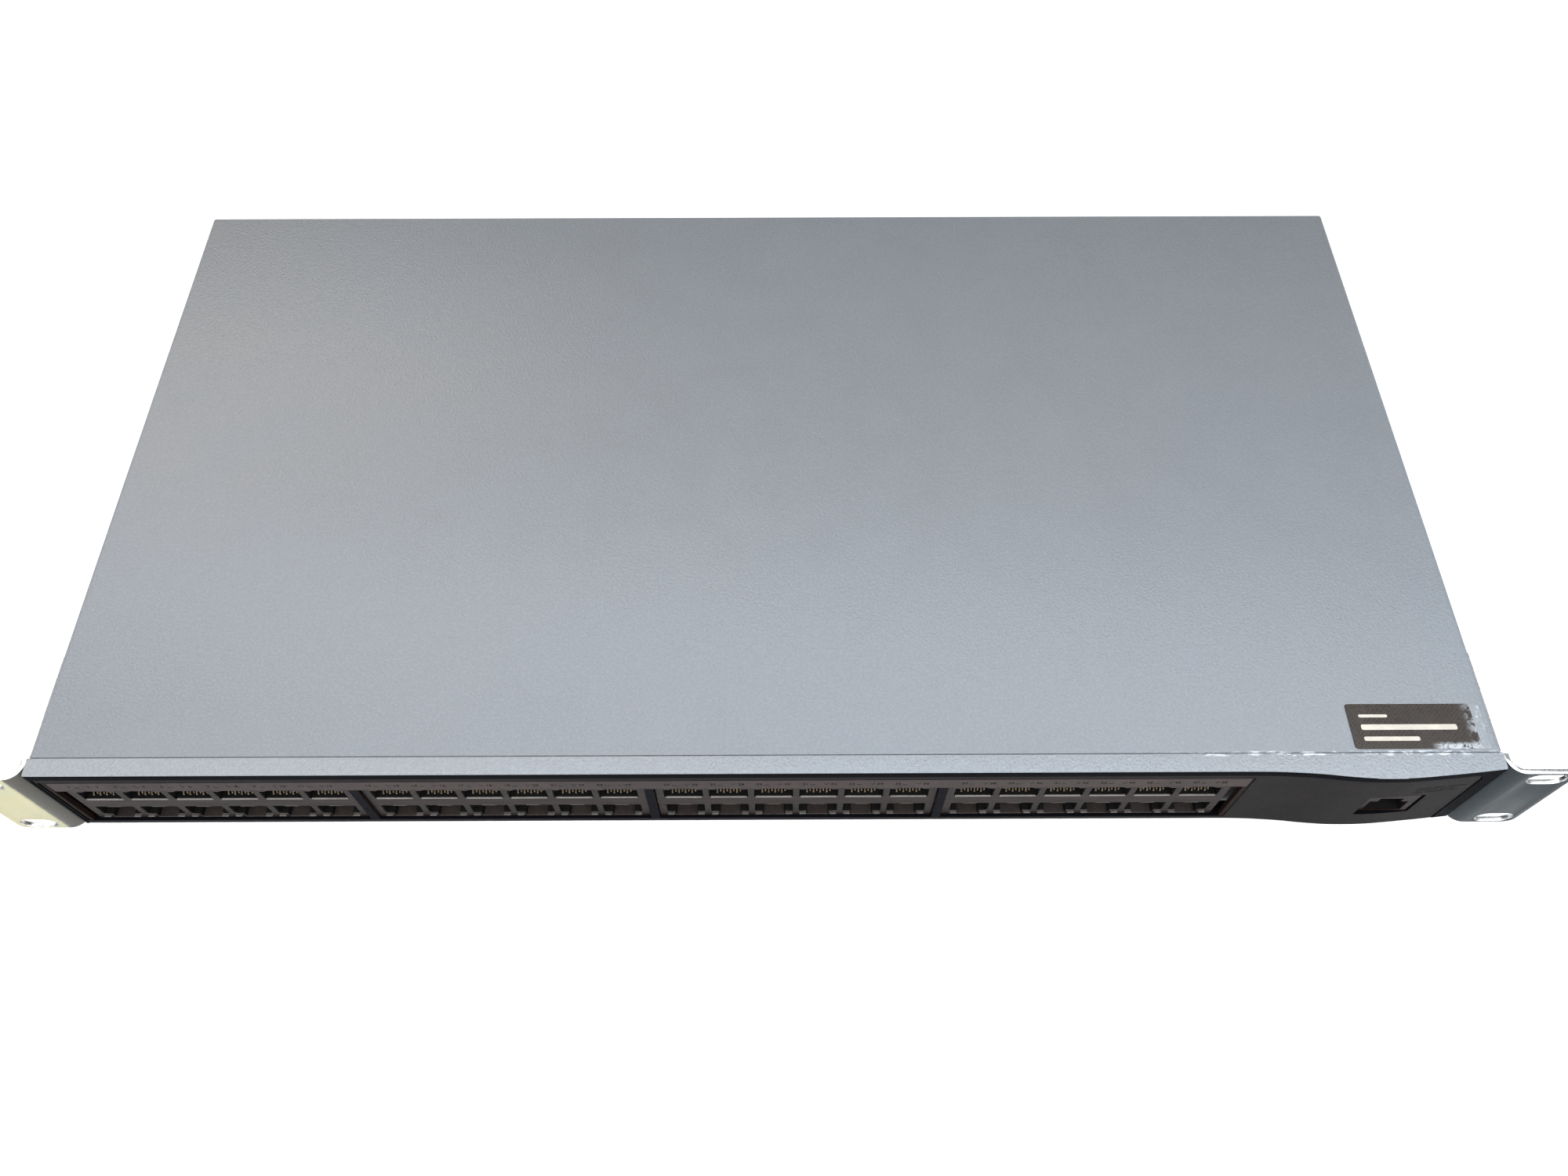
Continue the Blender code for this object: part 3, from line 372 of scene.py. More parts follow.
def rounded(x0, x1, z0, z1, r, n=4):
    """A rectangle with rounded corners; r is one radius or one for each of the corners (x0,z0), (x1,z0), (x1,z1), (x0,z1)."""
    rs = r if isinstance(r, (tuple, list)) else (r,) * 4
    out = []
    for (cx, cz, a0), q in zip(((x0, z0, pi), (x1, z0, 1.5 * pi), (x1, z1, 0.0), (x0, z1, 0.5 * pi)), rs):
        if q <= 0:
            out.append((cx, cz))
            continue
        ox, oz = cx + (q if cx == x0 else -q), cz + (q if cz == z0 else -q)
        for i in range(n + 1):
            a = a0 + (pi / 2) * i / n
            out.append((ox + q * cos(a), oz + q * sin(a)))
    return out


def circle(cx, cy, r, n, start=0.0):
    return [(cx + r * cos(start + 2 * pi * i / n), cy + r * sin(start + 2 * pi * i / n)) for i in range(n)]


def make(name, bm, *mats):
    me = bpy.data.meshes.new(name)
    bm.to_mesh(me)
    bm.free()
    me.transform(TO_M)
    for m in mats:
        me.materials.append(m)
    o = bpy.data.objects.new(name, me)
    scene.collection.objects.link(o)
    return o


def settle(o):
    """Applies the modifiers."""
    dg = bpy.context.evaluated_depsgraph_get()
    dg.update()
    me = bpy.data.meshes.new_from_object(o.evaluated_get(dg), preserve_all_data_layers=True, depsgraph=dg)
    o.modifiers.clear()
    me.name = o.name
    o.data = me
    return o


def cut(o, *cutters, operation="DIFFERENCE"):
    for c in cutters:
        m = o.modifiers.new("cut", "BOOLEAN")
        m.operation, m.solver, m.object = operation, "EXACT", c
    settle(o)
    for c in cutters:
        bpy.data.objects.remove(c, do_unlink=True)
    return o


def bevel(o, width, segments=2, angle=40.0):
    m = o.modifiers.new("bevel", "BEVEL")
    m.width, m.segments, m.limit_method, m.angle_limit = width * MM, segments, "ANGLE", radians(angle)
    m.use_clamp_overlap = True
    return settle(o)


def shade(o, angle=35.0):
    me = o.data
    me.polygons.foreach_set("use_smooth", [True] * len(me.polygons))
    me.set_sharp_from_angle(angle=radians(angle))
    return o


def piece(o, *nodes, slot=None, body=BODY, angle=35.0):
    shade(o, angle)
    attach(o, body)
    if nodes:
        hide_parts(*nodes)
    return o


def paint(o, rule):
    """Sets each face's material slot by rule(centre in mm from the rim, normal)."""
    back = TO_M.inverted()
    for p in o.data.polygons:
        p.material_index = rule(back @ p.center, p.normal)
    return o


# ================================================================ the bezel's front curve
CURVE = [(-220, 0.0), (-60, 0.0), (140, 0.0), (150, -0.06), (156, -0.26), (165, -0.85), (172, -1.60), (179, -2.16),
         (186, -2.30), (193, -2.14), (202, -1.42), (211, -0.55), (220, 0.45)]


def rim_y(x):
    """The smooth curve through CURVE."""
    x = max(-220.0, min(220.0, x))
    i = max(k for k in range(len(CURVE) - 1) if CURVE[k][0] <= x)
    if i < 2:
        return 0.0
    (x0, y0), (x1, y1) = CURVE[i], CURVE[i + 1]

    def slope(k):
        a, b = max(k - 1, 0), min(k + 1, len(CURVE) - 1)
        return (CURVE[b][1] - CURVE[a][1]) / (CURVE[b][0] - CURVE[a][0])

    h = x1 - x0
    t = (x - x0) / h
    m0, m1 = slope(i) if i > 2 else 0.0, slope(i + 1)
    return max(-2.3, (2 * t ** 3 - 3 * t ** 2 + 1) * y0 + (t ** 3 - 2 * t ** 2 + t) * h * m0 + (3 * t ** 2 - 2 * t ** 3) * y1 + (t ** 3 - t ** 2) * h * m1)


def stations(lo, hi, fine=1.5, coarse=20.0):
    xs, x = [lo], lo
    while x < hi - 1e-6:
        x += fine if x >= 138 or x < lo + 1 else min(coarse, max(fine, 139.0 - x))
        xs.append(min(x, hi))
    return xs


def along_rim(name, lo, hi, profile_at, *mats):
    """A closed section, given for each X as (depth behind the rim curve, z), swept along X."""
    bm = new()
    rings = []
    for x in stations(lo, hi):
        rings.append([bm.verts.new((x, rim_y(x) + d, z)) for d, z in profile_at(x)])
    n = len(rings[0])
    bm.faces.new(rings[0])
    bm.faces.new(rings[-1])
    for a, b in zip(rings, rings[1:]):
        for i in range(n):
            bm.faces.new((a[i], a[(i + 1) % n], b[(i + 1) % n], b[i]))
    bmesh.ops.recalc_face_normals(bm, faces=bm.faces[:])
    return make(name, bm, *mats)


# ---------------------------------------------------------------- bezel shell
def bezel_profile(x):
    y = rim_y(x)
    top = TOP if y > -0.02 else TOP
    r = 0.75
    pts = [(SEAM - y, 3.6), (0.55, 3.6), (0.15, 3.75), (0.0, 4.15), (0.0, TOP - r)]
    pts += [(r - r * cos(a), TOP - r + r * sin(a)) for a in (pi / 8, pi / 4, 3 * pi / 8, pi / 2)]
    pts += [(SEAM - y - 0.25, top), (SEAM - y, TOP - 0.25)]
    out = []
    for d, z in pts:
        yy = y + d
        limit = 43.65 + (yy - 0.02) * 0.2625 if yy < 0.02 else TOP
        out.append((d, min(z, limit)))
    return out


bezel = along_rim("bezel_shell", -220.0, 220.0, bezel_profile, RIM_PAINTED_SHADE, LIP)
bm = new()
hollow = [(max(-218.2, min(218.2, x)), rim_y(x) + 2.3) for x in stations(-220.0, 220.0)]
prism(bm, hollow + [(218.2, 12), (-218.2, 12)], "z", 4.9, 42.0)
hollow = make("t1", bm)
bm = new()
fx0, fx1 = -219.3, 215.2
pts = [(x, rim_y(x) + 0.45) for x in stations(fx0, fx1)]
prism(bm, pts + [(fx1, -12), (fx0, -12)], "z", 2.0, 40.0)
recess = make("t2", bm)
bm = new()
prism(bm, rounded(-230, fx1, -5, 40.0, (0, 0, 3.4, 0), 6), "y", -20, 20)
recess = cut(recess, make("t3", bm), operation="INTERSECT")
bm = new()
prism(bm, rounded(-218.9, 147.4, 5.5, 37.6, 0.5), "y", -12, 12)
prism(bm, rounded(185.3, 203.1, 12.6, 27.0, 0.6), "y", -12, 12)
cut(bezel, hollow, recess, make("t4", bm))
# top faces get the pale lip paint, every other face the near-black rim colour: painted shade on the front-facing faces
# of one painted shell
paint(bezel, lambda c, n: 1 if n.z > 0.25 and c.z > 42.2 else 0)
piece(bezel, "front_bezel", slot="bezel_plastic", angle=40)


# ---------------------------------------------------------------- thin overlay in the bezel's recess
def overlay_profile(x):
    z1, r = 39.85, 3.3
    over = x - (215.05 - r)
    if over > 0:
        z1 -= r - sqrt(max(r * r - over * over, 0.0))
    return [(0.25, 3.7), (0.44, 3.7), (0.44, z1), (0.25, z1)]


overlay = along_rim("face_overlay", -219.15, 215.05, overlay_profile, FACE)
bm = new()
prism(bm, rounded(-218.75, 147.25, 5.6, 37.65, 0.4), "y", -12, 12)
prism(bm, rounded(185.45, 202.95, 12.75, 26.85, 0.5), "y", -12, 12)
cut(overlay, make("t1", bm))
bevel(overlay, 0.05, 1, 50)
piece(overlay, slot="panel_plastic")

# ---------------------------------------------------------------- port panel, its dark group bars, label strip, marks
WINDOW_TOP = 30.4
bm = new()
prism(bm, rounded(-218.1, 147.15, 5.75, 37.35, 0.3), "y", 0.35, 2.0)
panel = make("port_panel_frame", bm, PANEL)
bm = new()
edges = [-216.9] + [m + s * 1.4 for m in MIDDLES for s in (-1, 1)] + [145.5]
for x0, x1 in zip(edges[::2], edges[1::2]):
    prism(bm, rounded(x0, x1, 2.0, WINDOW_TOP, (0, 0, 0.5, 0.5)), "y", -8, 12)
windows = make("t1", bm)
bm = new()
box(bm, (-215.6, 143.7), (0.9, 12), (25.0, 31.9))
relief = make("t2", bm)


def triangle(cx, cz, size, up):
    s = 1 if up else -1
    return [(cx - size / 2, cz - s * size * 0.42), (cx + size / 2, cz - s * size * 0.42), (cx, cz + s * size * 0.46)]


LED_Z = 34.4
LEDS = [(gx + PITCH * (c - 2.5) + s * 2.0, s < 0) for gx in GROUP_X for c in range(6) for s in (-1, 1)]
bm = new()
for x, up in LEDS:
    prism(bm, triangle(x, LED_Z, 1.7, up), "y", -8, 12)
lights = make("t3", bm)
bm = new()
for x, up in LEDS:
    prism(bm, triangle(x, LED_Z, 1.7, up), "y", -8, 12)
lights2 = make("t5", bm)
cut(panel, windows, relief, lights)
bevel(panel, 0.10, 1, 60)
piece(panel, "port_panel", slot="panel_plastic")

bm = new()
prism(bm, rounded(-216.2, 146.3, 31.0, 37.2, 0.4), "y", 0.20, 0.36)
strip = make("label_strip", bm, STRIP)
cut(strip, lights2)
piece(strip, slot="panel_plastic")

bm = new()
for m in MIDDLES:
    prism(bm, rounded(m - 1.4, m + 1.4, 5.8, 30.95, 0.25), "y", 0.22, 0.37)
bars = make("group_bars", bm, BARS)
bevel(bars, 0.06, 1, 50)
piece(bars, slot="bezel_plastic")


def letters(entries, size, depth_front, thick=0.02):
    """Generic figures as thin raised print: entries are (text, x, z)."""
    bm = new()
    for text, x, z in entries:
        cu = bpy.data.curves.new("t", "FONT")
        cu.body, cu.size, cu.align_x, cu.align_y, cu.extrude, cu.resolution_u = text, size, "CENTER", "CENTER", thick, 3
        t = bpy.data.objects.new("t", cu)
        scene.collection.objects.link(t)
        dg = bpy.context.evaluated_depsgraph_get()
        dg.update()
        me = bpy.data.meshes.new_from_object(t.evaluated_get(dg))
        me.transform(Matrix.Translation((x, depth_front, z)) @ Matrix.Rotation(pi / 2, 4, "X"))
        bm.from_mesh(me)
        bpy.data.objects.remove(t, do_unlink=True)
        bpy.data.meshes.remove(me)
    return bm


entries = []
for g, gx in enumerate(GROUP_X):
    for c in range(6):
        cx = gx + PITCH * (c - 2.5)
        n = 12 * g + 2 * c + 1
        entries += [(str(n), cx - 4.25, LED_Z), (str(n + 1), cx + 4.25, LED_Z)]
numbers = make("port_numbers", letters(entries, 1.95, 0.19), PRINT)
piece(numbers)

# blank marks where the small print stands beside the console port
bm = new()
for z, runs in ((33.0, ((197.4, 201.6), (202.3, 206.0), (206.8, 212.6))), (31.3, ((197.4, 204.2), (205.0, 209.6))), (29.7, ((197.4, 200.3), (201.0, 207.2), (207.9, 211.6)))):
    for a, b in runs:
        k = 8
        top_edge = [(a + (b - a) * i / k, z + 0.22) for i in range(k + 1)]
        low_edge = [(a + (b - a) * i / k, z - 0.22) for i in range(k, -1, -1)]
        ring = top_edge + low_edge
        verts = [[bm.verts.new((x, rim_y(x) + d, zz)) for x, zz in ring] for d in (0.235, 0.26)]
        bm.faces.new(verts[0])
        bm.faces.new(verts[1])
        for i in range(len(ring)):
            j = (i + 1) % len(ring)
            bm.faces.new((verts[0][i], verts[0][j], verts[1][j], verts[1][i]))
bmesh.ops.recalc_face_normals(bm, faces=bm.faces[:])
piece(make("face_marks", bm, PRINT))

# ================================================================ top cover
bm = new()
R, HEM = 1.6, 0.6


def cover_ring(inset):
    k = 8
    out = [(-220.0 + inset, HEM)]
    r = R - inset
    out += [(-220 + R + r * cos(pi - (pi / 2) * i / k), TOP - R + r * sin(pi - (pi / 2) * i / k)) for i in range(k + 1)]
    out += [(220 - R + r * cos(pi / 2 - (pi / 2) * i / k), TOP - R + r * sin(pi / 2 - (pi / 2) * i / k)) for i in range(k + 1)]
    out += [(220.0 - inset, HEM)]
    ri = 0.6
    inner = [(219.0, HEM)] + [(219.0 - ri + ri * cos((pi / 2) * i / 4), TOP - 1.0 - ri + ri * sin((pi / 2) * i / 4)) for i in range(5)]
    inner += [(-219.0 + ri - ri * sin((pi / 2) * i / 4), TOP - 1.0 - ri + ri * cos((pi / 2) * i / 4)) for i in range(5)] + [(-219.0, HEM)]
    return out + inner


rings = []
for y, inset in ((SEAM + 0.15, 0.32), (SEAM + 0.24, 0.10), (SEAM + 0.47, 0.0), (BACK - 0.3, 0.0), (BACK - 0.1, 0.08), (BACK, 0.25)):
    rings.append([bm.verts.new((x, y, z)) for x, z in cover_ring(inset)])
n = len(rings[0])
bm.faces.new(rings[0])
bm.faces.new(rings[-1])
for a, b in zip(rings, rings[1:]):
    for i in range(n):
        bm.faces.new((a[i], a[(i + 1) % n], b[(i + 1) % n], b[i]))
bmesh.ops.recalc_face_normals(bm, faces=bm.faces[:])
cover = make("cover_shell", bm, POWDER, EDGE_AND_HIGHLIGHT)
VENTS = [128.0 + 5.2 * i for i in range(18)]
EAR_SCREWS = [(18.0, 12.0), (38.0, 12.0), (18.0, 33.0), (38.0, 33.0)]
COVER_SCREWS = [(78.0, 4.3), (214.0, 4.3)]
bm = new()
for lo, hi in ((-225, -215), (215, 225)):
    for vy in VENTS:
        for z0, z1 in ((8.6, 20.0), (23.4, 34.8)):
            prism(bm, rounded(vy - 1.3, vy + 1.3, z0, z1, 1.25, 4), "x", lo, hi)
    for sy, sz in EAR_SCREWS:
        prism(bm, circle(sy, sz, 2.2, 16), "x", lo, hi)
    for sy, sz in COVER_SCREWS:
        prism(bm, circle(sy, sz, 1.75, 16), "x", lo, hi)
cut(cover, make("t1", bm))
piece(cover, "top_cover", slot="powder_coat", angle=30)

# ================================================================ rack ears
for side, word in ((-1, "left"), (1, "right")):
    x0, th, rb = 220.25, 1.5, 5.5
    cx, cy = x0 + rb, rb - 1.0
    k = 10
    plan = [(x0, 48.0)] + [(cx - rb * cos((pi / 2) * i / k), cy - rb * sin((pi / 2) * i / k)) for i in range(k + 1)]
    plan += [(241.3, -1.0), (241.3, -1.0 + th)]
    plan += [(cx - (rb - th) * cos((pi / 2) * (k - i) / k), cy - (rb - th) * sin((pi / 2) * (k - i) / k)) for i in range(k + 1)] + [(x0 + th, 48.0)]
    bm = new()
    prism(bm, [(side * x, y) for x, y in plan], "z", 2.6, 43.2)
    ear = make(f"rack_ear_{word}_leaf", bm, EAR_LEFT_PAINTED_REFLECTION if side < 0 else EAR, BARE)
    bm = new()
    for z in (6.8, 38.55):
        prism(bm, rounded(*sorted((side * (233.6 - 5.9), side * (233.6 + 5.9))), z - 3.4, z + 3.4, 3.39, 8), "y", -8, 6)
    slots = make("t1", bm)
    lo, hi = sorted((side * 215.0, side * 226.0))
    bm = new()
    for sy, sz in EAR_SCREWS:
        prism(bm, circle(sy, sz, 2.2, 20), "x", lo, hi)
    drop = [(5.0 + 3.0 * i / 6, 43.4 - 3.2 * (0.5 - 0.5 * cos(pi * i / 6))) for i in range(7)]
    leaf = [(5.0, 44.5), (52.0, 44.5), (52.0, 30.2), (42.8, 39.4), (41.2, 40.2)] + drop[::-1]
    for flip in (False, True):
        prism(bm, [(y, 45.8 - z) if flip else (y, z) for y, z in leaf], "x", lo, hi)
    holes = make("t2", bm)
    bm = new()
    for z, s in ((2.6, 1), (43.2, -1)):
        r = 3.0
        ex = side * 241.3
        arc = [(ex - side * r + side * r * sin((pi / 2) * i / 6), z + s * r - s * r * cos((pi / 2) * i / 6)) for i in range(7)]
        prism(bm, [(ex - side * r, z - s * 1.0)] + arc + [(ex + side * 1.0, z + s * r), (ex + side * 1.0, z - s * 1.0)], "y", -8, 6)
    corners = make("t3", bm)
    cut(ear, slots, holes, corners)
    bevel(ear, 0.22, 2, 50)

    def ear_rule(c, nn):
        if abs(nn.z) > 0.35:
            return 1
        if abs(c.x) > 226.5 and abs(nn.y) < 0.75:
            return 1
        if c.y > 5.5 and abs(nn.x) < 0.75:
            return 1
        return 0

    paint(ear, ear_rule)
    piece(ear, f"rack_ear_{word}", slot="ear_paint", angle=40)


# ================================================================ screws with a domed head and a cross recess
def screw(name, node, at, direction, head_r, head_h, shank_r, shank_l, slot="screw_zinc"):
    rows = [(-shank_l, 0.35), (-shank_l + 0.7, shank_r * 0.86)]
    pitch, x = 0.7, -shank_l + 0.9
    while x < -0.7:
        rows += [(x, shank_r * 0.84), (x + pitch * 0.5, shank_r)]
        x += pitch
    rows += [(-0.15, shank_r * 0.84), (0.0, shank_r * 0.9), (0.0, head_r * 0.97), (0.18, head_r), (head_h * 0.45, head_r * 0.985)]
    rows += [(head_h * (0.45 + 0.55 * sin(a)), head_r * (0.985 - 0.5 * (1 - cos(a)))) for a in (pi / 8, pi / 4, 3 * pi / 8, pi / 2)]
    bm = new()
    sides = 24
    rings = [[bm.verts.new((x, r * cos(2 * pi * i / sides), r * sin(2 * pi * i / sides))) for i in range(sides)] for x, r in rows]
    bm.faces.new(rings[0])
    bm.faces.new(rings[-1])
    for r0, r1 in zip(rings, rings[1:]):
        for i in range(sides):
            j = (i + 1) % sides
            bm.faces.new((r0[i], r0[j], r1[j], r1[i]))
    bmesh.ops.recalc_face_normals(bm, faces=bm.faces[:])
    turn = {"+x": Matrix.Identity(4), "-x": Matrix.Rotation(pi, 4, "Z"), "+y": Matrix.Rotation(pi / 2, 4, "Z")}[direction]
    move = Matrix.Translation(at) @ turn @ Matrix.Rotation(rng.uniform(0, pi / 2), 4, "X")
    bmesh.ops.transform(bm, matrix=move, verts=bm.verts[:])
    o = make(name, bm, ZINC)
    w, l, d = head_r * 0.13, head_r * 0.5, head_h * 0.6
    bm = new()
    prism(bm, [(-w, -l), (w, -l), (w, -w), (l, -w), (l, w), (w, w), (w, l), (-w, l), (-w, w), (-l, w), (-l, -w), (-w, -w)], "x", head_h - d, head_h + 2)
    bmesh.ops.transform(bm, matrix=move, verts=bm.verts[:])
    cut(o, make("t1", bm))
    piece(o, node, slot=slot, angle=32)


for side, word in ((-1, "left"), (1, "right")):
    d = "+x" if side > 0 else "-x"
    for i, (sy, sz) in enumerate(EAR_SCREWS):
        screw(f"ear_bolt_{word}_{i + 1}", f"ear_screw_{word}_{i + 1}", (side * 221.8, sy, sz), d, 3.9, 2.2, 1.9, 4.2)
    for i, (sy, sz) in enumerate(COVER_SCREWS):
        screw(f"cover_bolt_{word}_{i + 1}", f"cover_screw_{word}_{i + 1}", (side * 220.05, sy, sz), d, 2.7, 1.3, 1.45, 3.2)
screw("earthing_bolt", "ground_screw", (-110.0, BACK + 0.05, 16.0), "+y", 4.2, 2.35, 1.9, 5.0)

# ================================================================ jacks: shields, spring tabs, contacts
UP, LOW = 21.2, 15.5


def port(cx, up, grow=0.0, r=0.45):
    """The keyhole of one port, its corners eased."""
    w, n = 6.0 + grow, 3.5 + grow
    s = 1 if up else -1
    z0 = UP - grow if up else LOW + grow
    zs = z0 + s * (6.7 + 2 * grow if up else 6.7 + 2 * grow)
    zn = zs + s * (2.4 if up else 2.4 - grow)
    pts = [(cx - w, z0 + s * r), (cx - w + r, z0), (cx + w - r, z0), (cx + w, z0 + s * r), (cx + w, zs - s * r), (cx + w - r, zs), (cx + n, zs),
           (cx + n, zn - s * 0.3), (cx + n - 0.3, zn), (cx - n + 0.3, zn), (cx - n, zn - s * 0.3), (cx - n, zs), (cx - w + r, zs), (cx - w, zs - s * r)]
    return pts


def strap(bm, path, x0, x1, thick):
    """A bent strip of sheet: path is (y, z) along its middle, x0..x1 its width."""
    left, right = [], []
    for i, (y, z) in enumerate(path):
        a, b = path[max(i - 1, 0)], path[min(i + 1, len(path) - 1)]
        ty, tz = b[0] - a[0], b[1] - a[1]
        q = sqrt(ty * ty + tz * tz)
        ny, nz = -tz / q * thick / 2, ty / q * thick / 2
        left.append((y + ny, z + nz))
        right.append((y - ny, z - nz))
    return prism(bm, left + right[::-1], "x", x0, x1)


shield_mesh = spring_mesh = contact_mesh = None
for g, gx in enumerate(GROUP_X):
    if shield_mesh is None:
        bm = new()
        prism(bm, rounded(gx - 43.4, gx + 43.4, 5.95, 31.5, 0.4), "y", 1.2, 27.0)
        shield = make(f"jack_can_{g + 1}", bm, SHIELD_PAINTED_SHADE, EDGE_AND_HIGHLIGHT)
        bm = new()
        box(bm, (gx - 43.12, gx + 43.12), (1.48, 26.72), (0, 31.22))
        inner = make("t1", bm)
        bm = new()
        for c in range(6):
            for up in (True, False):
                prism(bm, port(gx + PITCH * (c - 2.5), up, 0.12), "y", -5, 6)
        cut(shield, inner, make("t2", bm))

        def shield_rule(c, nn):
            return 1 if c.y < 1.6 and abs(nn.y) < 0.5 and 5.0 < c.z < 30.9 and abs(c.x - gx) < 43.0 else 0

        paint(shield, shield_rule)

        bm = new()
        for c in range(6):
            cx = gx + PITCH * (c - 2.5)
            # lower row: a tab from the bar between the rows, bent in over the opening, with a curled end
            strap(bm, [(1.34, 15.9), (1.36, 15.2), (1.9, 13.8), (2.7, 12.0), (3.2, 11.0), (3.3, 10.6)], cx - 2.1, cx + 2.1, 0.22)
            # and two small feet at the shoulders
            for s in (-1, 1):
                x0, x1 = sorted((cx + s * 3.75, cx + s * 5.85))
                strap(bm, [(0.30, 8.93), (0.62, 8.95), (1.05, 8.93)], x0, x1, 0.18)
            # the bright floor of the latch channel behind the panel
            strap(bm, [(1.25, 6.62), (3.0, 6.60), (6.0, 6.60)], cx - 3.3, cx + 3.3, 0.16)
            # upper row: a lip folded in along the lower edge
            strap(bm, [(1.34, 20.7), (1.36, 21.28), (1.52, 21.42), (1.72, 21.40)], cx - 5.6, cx + 5.6, 0.16)
            for s in (-1, 1):
                x0, x1 = sorted((cx + s * 4.0, cx + s * 5.9))
                strap(bm, [(1.34, 28.3), (1.36, 27.7), (1.9, 26.6), (2.6, 25.7)], x0, x1, 0.2)
        spring = make(f"jack_springs_{g + 1}", bm, SPRING, EDGE_AND_HIGHLIGHT)
        # the small feet and the folded lip take the bright edge steel as a painted highlight where they catch the light
        paint(spring, lambda c, nn: 1 if (c.y < 1.15 and 8.6 < c.z < 9.2) or (c.y < 1.85 and 20.6 < c.z < 21.7) else 0)
        bevel(spring, 0.04, 1, 50)

        bm = new()
        for c in range(6):
            cx = gx + PITCH * (c - 2.5)
            for i in range(8):
                x = cx + 1.02 * (i - 3.5)
                y0 = 3.9 + (0.45 if i % 2 else 0.0)
                u = y0 - 1.15
                strap(bm, [(u, 21.55), (u + 0.25, 22.05), (u + 2.4, 23.4), (u + 6.0, 25.6), (u + 8.35, 26.0)], x - 0.22, x + 0.22, 0.3)
                strap(bm, [(y0, 15.15), (y0 + 0.25, 14.65), (y0 + 2.4, 13.3), (y0 + 6.0, 11.1), (y0 + 7.2, 10.7)], x - 0.22, x + 0.22, 0.3)
        contact = make(f"jack_contacts_{g + 1}", bm, GOLD)
        shield_mesh, spring_mesh, contact_mesh = shield.data, spring.data, contact.data
        made = (shield, spring, contact)
    else:
        made = []
        for word, me in (("jack_can", shield_mesh), ("jack_springs", spring_mesh), ("jack_contacts", contact_mesh)):
            o = bpy.data.objects.new(f"{word}_{g + 1}", me)
            scene.collection.objects.link(o)
            o.location.x = (gx - GROUP_X[0]) * MM
            made.append(o)
    piece(made[0], f"jack_shield_{g + 1}", slot="jack_shield_steel", angle=30)
    piece(made[1], slot="jack_shield_steel")
    piece(made[2], slot="nickel_pin")

# console port: its contacts
CX, CF = 194.2, 13.9
bm = new()
for i in range(8):
    x = CX + 1.02 * (i - 3.5)
    y0 = 3.2 + (0.45 if i % 2 else 0.0)
    strap(bm, [(y0, CF + 0.35), (y0 + 0.25, CF + 0.85), (y0 + 2.4, CF + 2.2), (y0 + 6.0, CF + 4.4), (y0 + 7.2, CF + 4.8)], x - 0.22, x + 0.22, 0.3)
piece(make("console_contacts", bm, GOLD), slot="nickel_pin")

# ================================================================ label on the cover: plain dark film with blank pale bars
def label_material():
    m = Nodes("label_film")
    fine, mid = m.noise(900.0, 3.0, 0.6), m.noise(130.0, 3.0, 0.6)
    weave = m.wave(330.0, "X", m.stretch((1.0, 1.0, 1.0), (0, 0, pi / 4)), 0.0)
    tone = m.mix(m.span(mid, 0.3, 0.7), (0.024, 0.0185, 0.0150), (0.034, 0.027, 0.0225))
    tone = m.mix(m.span(weave, 0.80, 0.95, 0.0, 0.22), tone, (0.105, 0.088, 0.074))
    # rubbed through towards the right and lower right edges
    worn = m.math("MULTIPLY", m.span(m.axis(0), wx(210.5), wx(216.0), smooth=True), m.span(m.noise(420.0, 4.0, 0.8), 0.46, 0.58))
    tone = m.mix(worn, tone, (0.42, 0.45, 0.48))
    low = m.math("MULTIPLY", m.math("MULTIPLY", m.span(m.axis(1), wy(9.4), wy(7.8), smooth=True), m.span(m.axis(0), wx(199), wx(203), smooth=True)),
                 m.span(m.noise(650.0, 4.0, 0.8), 0.42, 0.55))
    tone = m.mix(low, tone, (0.44, 0.47, 0.50))
    return m.finish(tone, m.span(fine, 0.3, 0.7, 0.22, 0.36), 0.0, m.bump(fine, 0.000006))


def clear_film_material():
    m = Nodes("label_clear_edge")
    scratch = m.span(m.noise(700.0, 5.0, 0.85, m.stretch((1.0, 0.35, 1.0), (0, 0, 0.35))), 0.55, 0.66)
    blotch = m.span(m.noise(190.0, 3.0, 0.7), 0.45, 0.62)
    tone = m.mix(m.math("MULTIPLY", scratch, blotch), (0.24, 0.262, 0.285), (0.82, 0.86, 0.90))
    return m.finish(tone, m.span(blotch, 0.0, 1.0, 0.18, 0.40), 0.0, m.bump(scratch, 0.00003))


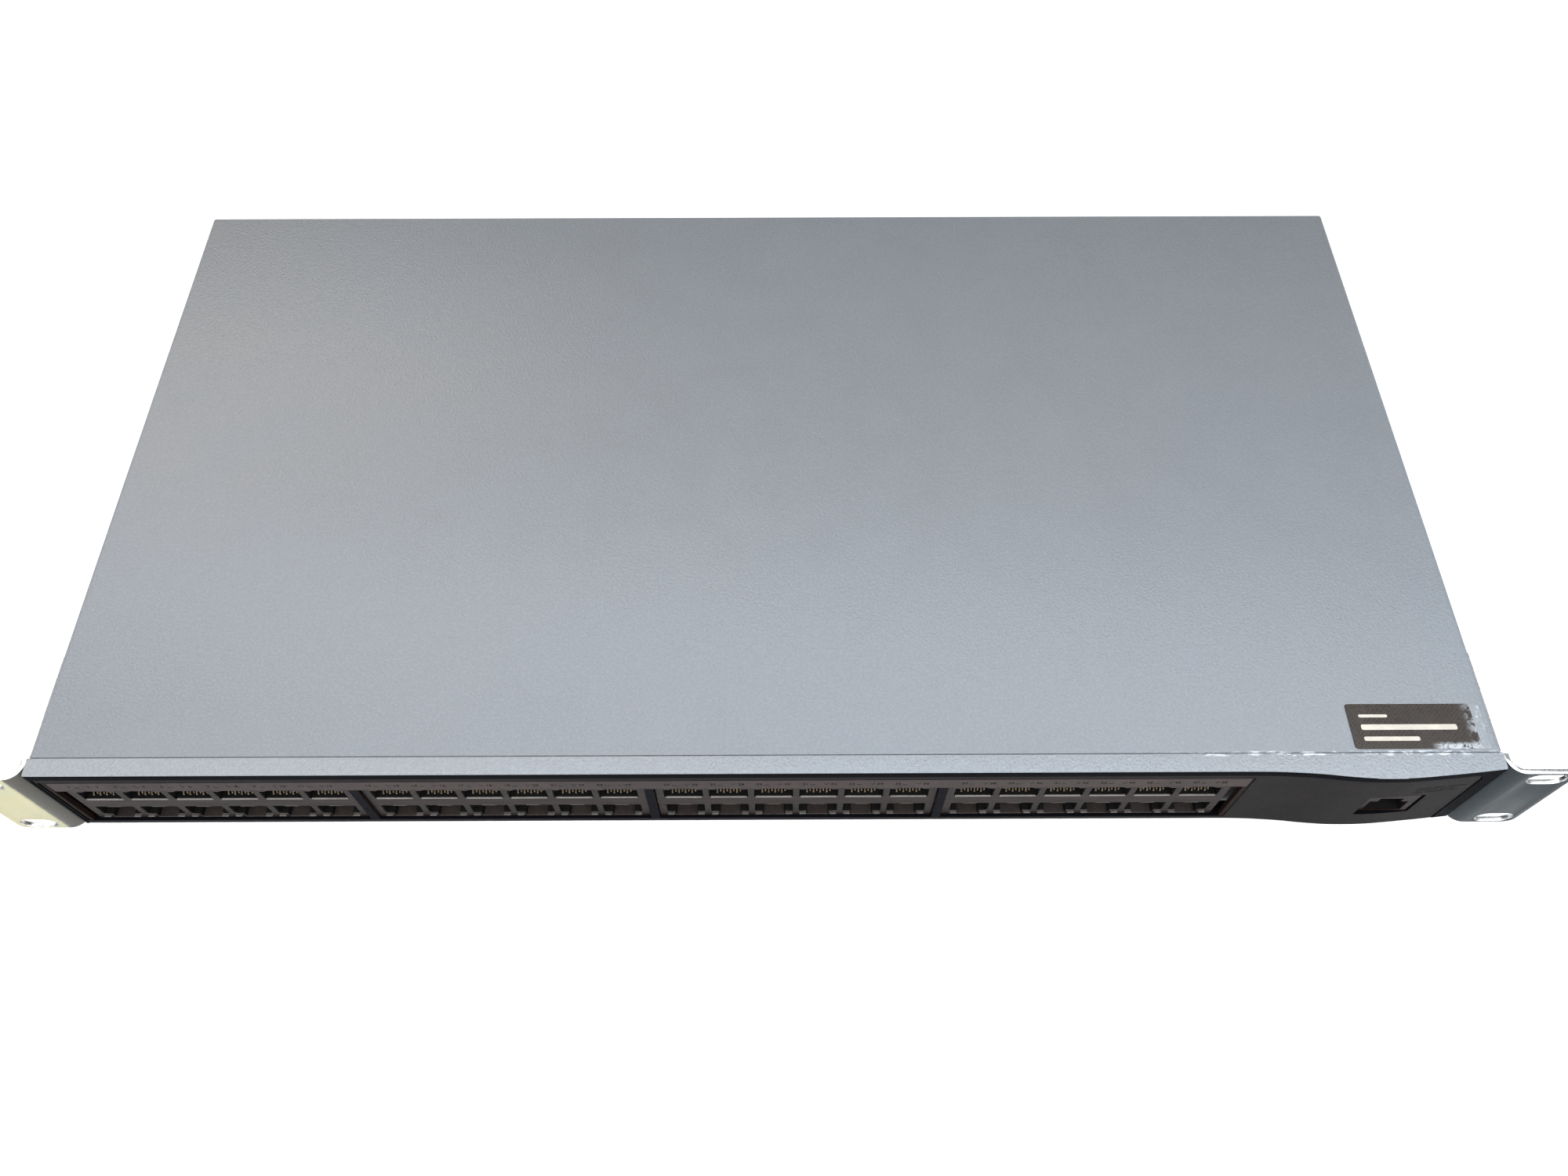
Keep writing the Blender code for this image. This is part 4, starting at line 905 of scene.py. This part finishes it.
LABEL, CLEAR = label_material(), clear_film_material()
PALE = moulded("label_pale_ink", (0.47, 0.44, 0.40), (0.3, 0.4), 0.000004)
LZ = TOP + 0.06
bm = new()
prism(bm, rounded(176.2, 214.2, 6.9, 21.7, (1.0, 0.5, 0.8, 1.0), 5), "z", LZ, LZ + 0.10)
label = make("cover_label", bm, LABEL)
bevel(label, 0.03, 1, 50)
piece(label, "top_label", slot="label_stock")
bm = new()
prism(bm, rounded(213.9, 217.0, 6.9, 21.6, (0.3, 1.0, 1.0, 0.3), 5), "z", LZ - 0.03, LZ + 0.03)
bevel(make("cover_label_edge", bm, CLEAR), 0.02, 1, 50)
piece(bpy.data.objects["cover_label_edge"], slot="label_stock")
bm = new()
for x0, x1, y0, y1 in ((179.6, 208.6, 13.1, 14.9), (179.6, 196.4, 9.5, 10.9), (179.6, 188.4, 17.2, 18.2)):
    prism(bm, rounded(x0, x1, y0, y1, 0.5, 4), "z", LZ + 0.10, LZ + 0.13)
piece(make("label_blank_bars", bm, PALE), slot="label_stock")

# ================================================================ floor and light
bm = bmesh.new()
bmesh.ops.create_grid(bm, x_segments=2, y_segments=2, size=6.0)
me = bpy.data.meshes.new("floor")
bm.to_mesh(me)
bm.free()
floor = bpy.data.objects.new("floor", me)
scene.collection.objects.link(floor)
m = Nodes("floor_paper")
me.materials.append(m.finish(m.mix(m.noise(8.0), (0.86, 0.86, 0.86), (0.88, 0.88, 0.88)), 0.9, Specular_IOR_Level=0.1, Emission_Color=(1, 1, 1, 1), Emission_Strength=0.3))
floor.location.z = CAD_BOX[0].z - 0.0002

world = bpy.data.worlds.new("studio")
scene.world = world
world.use_nodes = True
world.node_tree.nodes["Background"].inputs[0].default_value = (0.97, 0.985, 1.0, 1.0)
world.node_tree.nodes["Background"].inputs[1].default_value = 0.28


def area(name, at, aim, size, power, color=(1, 1, 1)):
    d = bpy.data.lights.new(name, "AREA")
    d.shape, d.size, d.size_y, d.energy, d.color = "RECTANGLE", size[0], size[1], power, color
    o = bpy.data.objects.new(name, d)
    scene.collection.objects.link(o)
    o.location = at
    o.visible_camera = False
    o.rotation_euler = (Vector(aim) - Vector(at)).to_track_quat("-Z", "Y").to_euler()
    return o


area("overhead", (0.0, -0.12, 1.05), (0.0, -0.10, 0.0), (2.0, 0.85), 5.4, (0.95, 0.98, 1.0))
area("sheen", (0.04, 0.02, 0.50), (0.02, -0.10, 0.0), (1.5, 0.13), 1.7, (0.91, 0.96, 1.0))
area("front", (0.02, -0.36, 0.43), (0.0, -0.05, 0.0), (1.6, 0.20), 5.4, (0.93, 0.97, 1.0))
area("back_left", (-0.9, 1.0, 0.95), (-0.1, 0.0, 0.04), (1.0, 0.7), 6.0, (1.0, 0.82, 0.63))
